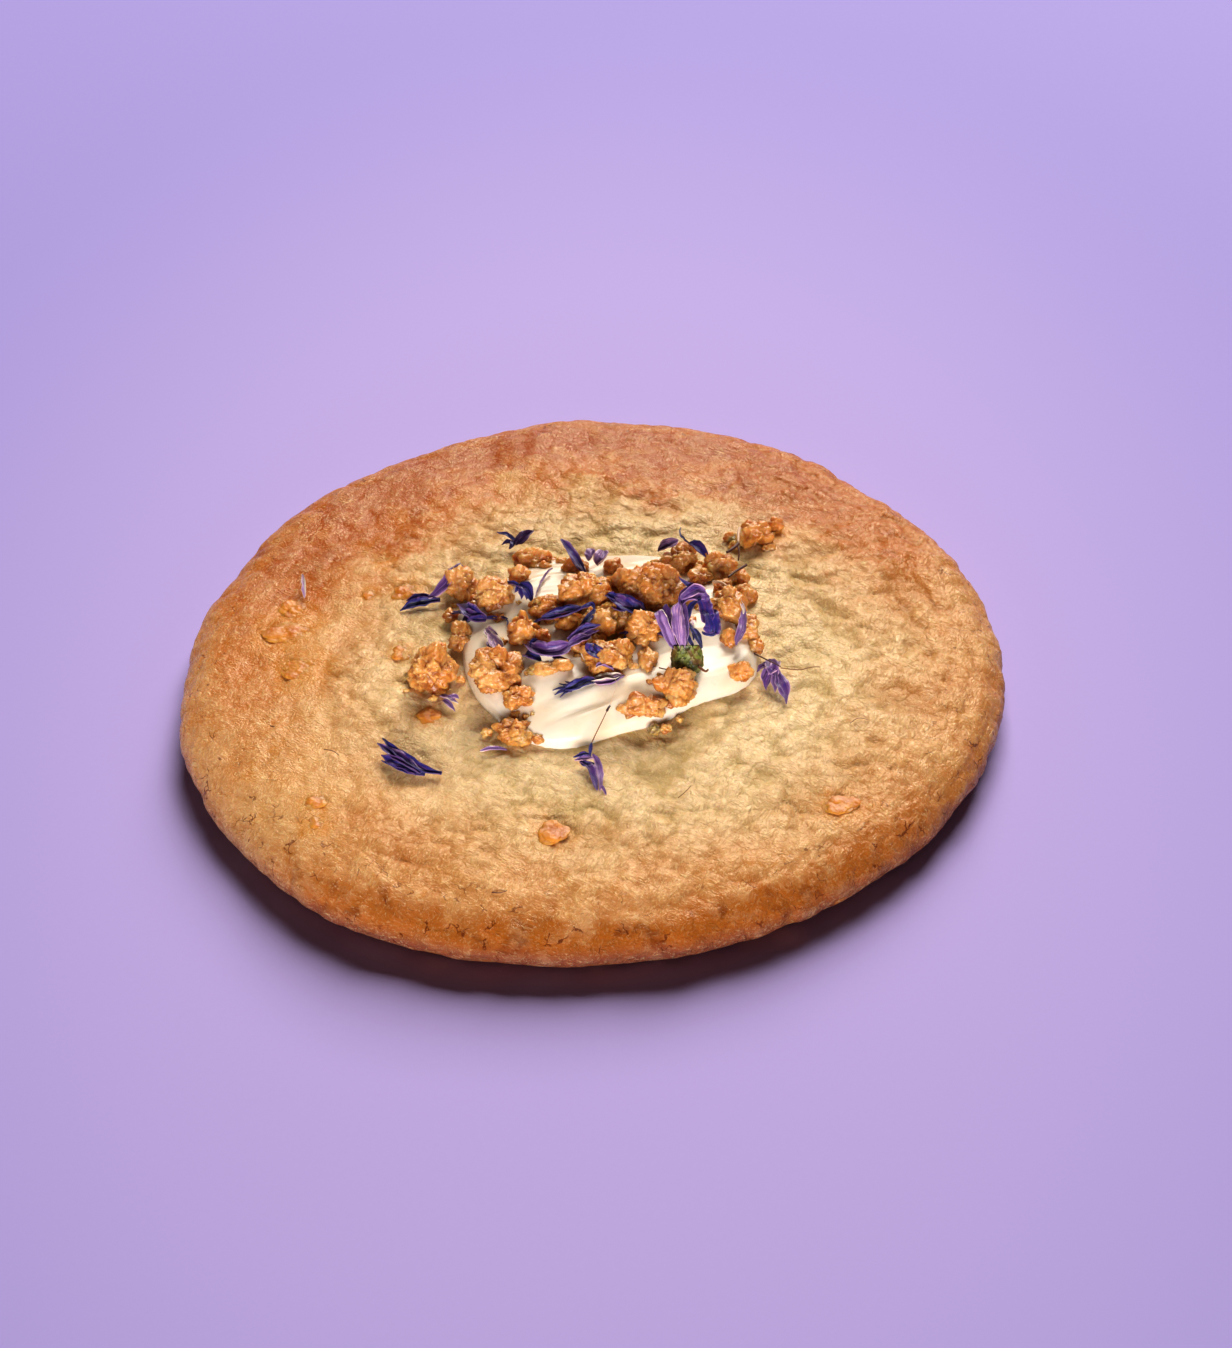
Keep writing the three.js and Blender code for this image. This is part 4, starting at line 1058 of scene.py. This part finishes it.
THREADS = (  # thickness, shade from 0 dark to 1 pale, places along it
    (0.16, 0.5, ((0.2, -24.8, 11.3), (0.9, -23.6, 12), (1.8, -22.4, 13.1), (2.3, -21.6, 13.7))),
    (0.36, 0, ((2.3, -21.6, 13.7), (2.5, -21.2, 13.8), (2.7, -20.8, 13.8))),
    (0.1, 0.9, ((2.7, -20.8, 13.8), (3.1, -19.1, 13.8), (3.7, -16.5, 13.7), (3.3, -14.7, 13.6))),
    (0.22, 0.1, ((21.7, -7.9, 10.6), (23.1, -10.9, 12), (24.4, -11.9, 11.9), (25, -12, 11.5))),
    (0.16, 0.4, ((25, -12, 11.3), (27.4, -11.5, 10.4), (29.1, -10.6, 10), (30.3, -10.3, 9.7))),
    (0.2, 0.5, ((9.2, -13.4, 13.5), (10.2, -13.7, 13.4), (11.1, -13.7, 13.4))),
    (0.42, 0.3, ((14.3, -13.5, 13.5), (15.1, -14.3, 13.3), (15.5, -13.9, 13.2))),
    (0.5, 0.85, ((21.7, 16.9, 12.5), (21.4, 15, 13), (21.2, 12.9, 13))),
    (0.3, 0.2, ((21.1, 12.2, 13.2), (21.2, 10.8, 13), (21, 9.5, 12.6))),
    (0.55, 0.15, ((21.2, 12.4, 13.2), (20.3, 11.2, 13.3), (19.5, 10.5, 13.3))),
    (0.42, 0.15, ((22, 8.4, 12.6), (20.3, 6.1, 13.3), (19.3, 4.5, 13.7))),
    (0.5, 0.95, ((17.2, 3.7, 13.6), (18.2, 3.2, 13.9), (19.1, 2.3, 13.8))),
    (0.12, 0.3, ((-34, -20.6, 8.6), (-32.8, -21.1, 8.7), (-32, -21.9, 8.6))),
    (0.12, 0.2, ((-41.3, -15.2, 8.3), (-40.7, -15.6, 8.4), (-40.2, -16.6, 8.2))),
    (0.14, 0.2, ((-12.4, -47, 7.9), (-11.4, -47.2, 8), (-10.6, -46.8, 7.9))),
    (0.12, 0.4, ((10.6, -33.1, 8.9), (11.6, -32.2, 9.1), (12.3, -31, 8.9))),
    (0.12, 0.4, ((33.2, -20.5, 8.7), (34.3, -19.8, 8.9), (35.6, -19.9, 8.6))),
    (0.12, 0.3, ((-25.5, -36.8, 8), (-24.6, -36.1, 8.2), (-23.6, -36.3, 8))),
)
THREAD_CUTS = 9  # extra rings along a thread
THREAD_SIDES = 6
THREAD_TIP = 0.7  # its thickness at the end, as a share of that at the start


def thread(thickness, shade, places):
    """A round thread along a path, finer towards its end."""
    hair = bmesh.new()
    half = thickness / 2
    bmesh.ops.create_cone(
        hair, cap_ends=True, segments=THREAD_SIDES, radius1=half, radius2=THREAD_TIP * half, depth=1
    )
    sides = [edge for edge in hair.edges if abs(edge.verts[0].co.z - edge.verts[1].co.z) > 0.5]
    bmesh.ops.subdivide_edges(hair, edges=sides, cuts=THREAD_CUTS)
    shade_layer = hair.verts.layers.float.new("shade")
    places = [Vector(place) for place in places]
    for point in hair.verts:
        place, way = along_path(places, point.co.z + 0.5)
        aside = STANDING.cross(way).normalized()
        point.co = place + aside * point.co.x + way.cross(aside) * point.co.y
        point[shade_layer] = shade
    return hair


def thread_finish():
    finish = Finish("dry_stalk", Specular_IOR_Level=0.4)
    uneven = finish.place.grain(0.6, 2)
    tone = finish.attribute("shade") + 0.2 * uneven - 0.1
    color = tone.between(0.0, 0.5).tint(paint(60, 20, 24), paint(132, 84, 48))
    color = tone.between(0.5, 1.0).tint(color, paint(232, 196, 164))
    return finish.feed(Base_Color=color, Roughness=0.4 + 0.2 * uneven)


threads = bmesh.new()
for row in THREADS:
    add_shape(threads, thread(*row))
finish_piece(threads, "stamen_threads", thread_finish(), "cornflower")

# ---- Bud ----------------------------------------------------------------------------------------
# A small cornflower bud that leans back in the cream: a squat green cup of overlapping scales, and its
# florets, two upright, one arched over to the right and curled under, and dark fringes between them.

BUD_FOOT = (12.9, -12.9)
BUD_LEAN = math.radians(38)
CUP_LENGTH = 3.6
CUP_RADIUS = 1.95
CUP_RINGS = 44
CUP_SIDES = 80
SCALE_ROWS = 5
SCALES_IN_ROW = 10
SCALE_OVERLAP = 1.7  # a scale's length, in rows
SCALE_STANDS_OUT = 0.22
BUD_PETALS = (  # as in PETALS
    ("bud", "blade", 0.62, 1.5, (
        (11.5, -11.5, 14.6), (10.6, -10.6, 16.7), (9.9, -9.3, 18.5), (9.6, -8.5, 19),
    )),
    ("bud", "blade", 0.4, 1.2, (
        (12.1, -11.1, 14.5), (11.3, -9.8, 16.7), (10.6, -8.7, 18.2), (10.5, -7.6, 19.2),
    )),
    ("bud", "blade", 0.74, 1.9, (
        (12.3, -12.1, 15.2), (12.2, -10.9, 17.2), (12.2, -9.6, 18.6), (12.3, -8.1, 19.9),
    )),
    ("bud", "blade", 0.5, 1, (
        (12.7, -11.9, 15.1), (12.9, -10.5, 17.5), (12.8, -9.1, 19.2), (12.6, -8.2, 19.9),
    )),
    ("bud", "leaf", 0.05, 0.8, (
        (12.9, -11.3, 15.3), (13, -9.8, 17.5), (13.4, -8.6, 18.9), (14.1, -7.9, 19.4), (15.1, -7.3, 19.7),
    )),
    ("bud", "leaf", 0.42, 2.2, (
        (12.4, -8.5, 19.5), (12.9, -7.5, 20.2), (13.9, -6.8, 20.4), (15.1, -6.4, 20), (15.9, -6.6, 19.3),
    )),
    ("bud", "leaf", 0.5, 1.5, (
        (12.3, -8.1, 20.5), (13.4, -7.5, 20.9), (14.6, -6.8, 20.9), (15.6, -6.8, 20.3),
    )),
    ("bud", "lobe", 0.1, 0.7, (
        (15.1, -6.4, 20.8), (14.2, -6.7, 21.3), (13.2, -6.7, 21.9), (12.3, -6.4, 22.8),
    )),
    ("bud", "strip", 0.35, 2, (
        (14.9, -6.4, 19.5), (15.3, -7.1, 18.8), (15.6, -8.3, 18), (15.9, -9.3, 17.3),
    )),
    ("bud", "strip", 0.22, 2.3, (
        (15.8, -8.3, 18.1), (16.1, -9.3, 17.8), (16.3, -10.2, 17.2), (16.1, -10.7, 16.6),
    )),
    ("bud", "leaf", 0.1, 0.5, (
        (16.6, -8.9, 18.1), (17, -9.9, 17.4), (16.8, -10.7, 16.7), (15.6, -10.7, 16.5), (15, -10.2, 16.6),
    )),
    ("bud", "leaf", 0.02, 0.6, ((14.9, -11.6, 15), (14.2, -11, 16.4), (13.3, -10.1, 17.8))),
    ("bud", "leaf", 0.02, 0.6, (
        (14.8, -10.8, 14.3), (14.6, -10.1, 15.7), (14, -9.8, 16.5), (13.8, -10.7, 15.6),
    )),
    ("bud", "leaf", 0.05, 0.5, ((13.8, -11.9, 15.3), (13.4, -11.5, 16.1), (13.2, -10.7, 16.6))),
    ("bud", "leaf", 1, 1.1, ((13.5, -9.9, 17), (13.8, -9.6, 17.4), (13.9, -9.3, 17.8))),
)


def cup_radius(up):
    """The cup's radius at a share of its height: a round foot and nearly straight sides."""
    return CUP_RADIUS * (0.78 + 0.22 * smoothstep(0, 0.3, up) - 0.12 * smoothstep(0.5, 1, up))


def bud_frame():
    """From the upright cup to its place in the cream, leaning back."""
    x, y = BUD_FOOT
    lean = Matrix.Rotation(-BUD_LEAN, 4, "X")
    return Matrix.Translation((x, y, surface_height(x, y) + 0.1)) @ lean


def scale_at(angle, up):
    """How far up its scale a place of the cup lies, and how far aside; lower scales lie outermost."""
    row = int(up * SCALE_ROWS)
    for i in (row - 1, row):
        along = (up * SCALE_ROWS - i) / SCALE_OVERLAP
        aside = 2 * ((angle / math.tau * SCALES_IN_ROW + 0.5 * (i % 2)) % 1) - 1
        if i >= 0 and abs(aside) < math.sqrt(max(0, 1 - along**2)) + 0.05:
            break
    return along, aside


def bud_cup():
    cup = bmesh.new()
    ups = [i / CUP_RINGS for i in range(CUP_RINGS + 1)]
    profile = [cup.verts.new((cup_radius(up), 0, up * CUP_LENGTH)) for up in ups]
    profile = [cup.verts.new((0, 0, 0))] + profile + [cup.verts.new((0, 0, CUP_LENGTH))]
    edges = [cup.edges.new(ends) for ends in zip(profile, profile[1:])]
    bmesh.ops.spin(
        cup, geom=profile + edges, cent=(0, 0, 0), axis=(0, 0, 1), angle=math.tau,
        steps=CUP_SIDES, use_merge=True,
    )
    bmesh.ops.remove_doubles(cup, verts=cup.verts, dist=0.001)
    layers = {name: cup.verts.layers.float.new(name) for name in ("along", "aside")}
    for point in cup.verts:
        flat = Vector((point.co.x, point.co.y, 0))
        if flat.length > 0.1:
            along, aside = scale_at(math.atan2(flat.y, flat.x), min(0.999, point.co.z / CUP_LENGTH))
            point[layers["along"]], point[layers["aside"]] = along, aside
            point.co += flat.normalized() * (SCALE_STANDS_OUT * along - 0.05 * aside**2)
        point.co += 0.16 * noise.noise_vector(point.co / 1.3 + Vector((4, 0, 0)))
    bmesh.ops.transform(cup, matrix=bud_frame(), verts=cup.verts)
    return cup


def cup_finish():
    finish = Finish("bud_scales", Specular_IOR_Level=0.5)
    place = finish.place
    mottle = place.grain(0.9, 3, 0.8)
    color = mottle.between(0.4, 0.6).tint(paint(62, 66, 26), paint(130, 136, 56))
    brown = place.grain(1.8, 2, 0.5).between(0.5, 0.62)
    color = (brown * 0.7).tint(color, paint(110, 58, 34))
    along, aside = finish.attribute("along"), finish.attribute("aside")
    # Painted highlight: pale golden glints on the scales' tips, where they stand out most.
    tip_highlight = along.between(0.6, 1.0) * place.grain(0.6, 2).between(0.4, 0.6)
    color = (tip_highlight * 0.6).tint(color, paint(196, 188, 132))
    # Dark margins along the scales' sides, and painted shade at each scale's foot, where it shows between the
    # tips of the scales below.
    margin_and_lap_shade = (aside * aside).between(0.5, 1.0) + along.between(0.4, 0.1)
    color = (margin_and_lap_shade * 0.35).tint(color, paint(48, 34, 24))
    normal = place.grain(0.3, 2).bumped(0.08)
    return finish.feed(Base_Color=color, Roughness=0.35 + 0.25 * mottle, Normal=normal)


finish_piece(bud_cup(), "bud_cup", cup_finish(), "bud", "bud")
finish_piece(petals_of("bud", BUD_PETALS, STANDING), "bud_florets", dried_petal, "cornflower", "bud")

# ---- Table and light ----------------------------------------------------------------------------
# The cookie lies on a pale lilac sheet of board, painted darker away from the cookie as a falloff of light.
# One broad soft light comes from behind, and two weak ones, low in front, lighten the crust's rim and the
# toppings' dark sides.

TABLE_SIZE = 3.0  # half its side, in metres
BACK_LIGHT = (1.0, 0.95, 0.88)
CRUST_LIGHT = (1.0, 0.97, 1.0)
TOPPING_LIGHT = (0.99, 0.98, 1.0)
ROOM_LIGHT = (1.0, 0.94, 0.92, 1)
ROOM_STRENGTH = 0.035

table = bmesh.new()
bmesh.ops.create_grid(table, x_segments=1, y_segments=1, size=TABLE_SIZE)
table_mesh = bpy.data.meshes.new("table")
table.to_mesh(table_mesh)
table.free()
board = Finish("lilac_board", Specular_IOR_Level=0.2)
fibres = board.place.grain(0.8, 3)
board_color = fibres.tint(paint(206, 188, 250), paint(210, 192, 253))
# Painted falloff of light: the board darkens further from the cookie.
light_falloff = board.place.from_axis(0.62).between(0.045, 0.135)
board_color = light_falloff.tint(board_color, paint(186, 172, 242))
table_mesh.materials.append(board.feed(Base_Color=board_color, Roughness=0.7 + 0.1 * fibres))
table_piece = bpy.data.objects.new("table", table_mesh)
bpy.context.scene.collection.objects.link(table_piece)


def soft_light(name, turn, elevation, distance, size, power, color, only=None):
    """A rectangular lamp aimed at the cookie. Its turn and elevation are in degrees, from +X and up.

    It lights only one group of pieces, if that is given.
    """
    light = bpy.data.lights.new(name, "AREA")
    light.shape = "RECTANGLE"
    light.size, light.size_y = size
    light.energy = power
    light.color = color
    lamp = bpy.data.objects.new(name, light)
    across = distance * math.cos(math.radians(elevation))
    turn = math.radians(turn)
    up = distance * math.sin(math.radians(elevation))
    place = Vector((across * math.cos(turn), across * math.sin(turn), up))
    lamp.matrix_world = Matrix.Translation(place) @ place.to_track_quat("Z", "Y").to_matrix().to_4x4()
    bpy.context.scene.collection.objects.link(lamp)
    if only:
        lamp.light_linking.receiver_collection = only
    return lamp


soft_light(
    "key", turn=75, elevation=38, distance=4.0, size=(2.4, 2.8), power=256, color=BACK_LIGHT
)
crust_fill = soft_light(
    "fill", turn=-106, elevation=15, distance=1.0, size=(1.3, 0.3), power=12.5, color=CRUST_LIGHT,
    only=crust_side,
)
crust_fill.visible_glossy = False  # or the buttered crust would glare when it is seen from behind
soft_light(
    "front_fill", turn=-92, elevation=14, distance=1.0, size=(0.8, 0.3), power=17,
    color=TOPPING_LIGHT, only=toppings,
)
world = bpy.data.worlds.new("room")
world.use_nodes = True
room = world.node_tree.nodes["Background"]
room.inputs["Color"].default_value = ROOM_LIGHT
room.inputs["Strength"].default_value = ROOM_STRENGTH
bpy.context.scene.world = world
view = bpy.context.scene.view_settings
view.view_transform = "Standard"
view.gamma = 0.85

# ---- Camera -------------------------------------------------------------------------------------
# It looks down on the cookie from the front, a little rolled.

CAMERA_AIM = Vector((0.003663, -0.002994, 0.004))
CAMERA_DISTANCE = 0.330
CAMERA_ELEVATION = math.radians(40.126)
CAMERA_ROLL = math.radians(-2.721)
FOCAL_PIXELS = 2458.4  # in a picture 1348 pixels high
PICTURE_HEIGHT = 1348
SENSOR = 36

camera_data = bpy.data.cameras.new("camera")
camera_data.sensor_width = SENSOR
camera_data.lens = SENSOR * FOCAL_PIXELS / PICTURE_HEIGHT
camera_data.clip_start = 0.01
camera = bpy.data.objects.new("camera", camera_data)
tilt = Matrix.Rotation(math.pi / 2 - CAMERA_ELEVATION, 4, "X") @ Matrix.Rotation(CAMERA_ROLL, 4, "Z")
back = Vector((0, -math.cos(CAMERA_ELEVATION), math.sin(CAMERA_ELEVATION)))
camera.matrix_world = Matrix.Translation(CAMERA_AIM + back * CAMERA_DISTANCE) @ tilt
bpy.context.scene.collection.objects.link(camera)
bpy.context.scene.camera = camera
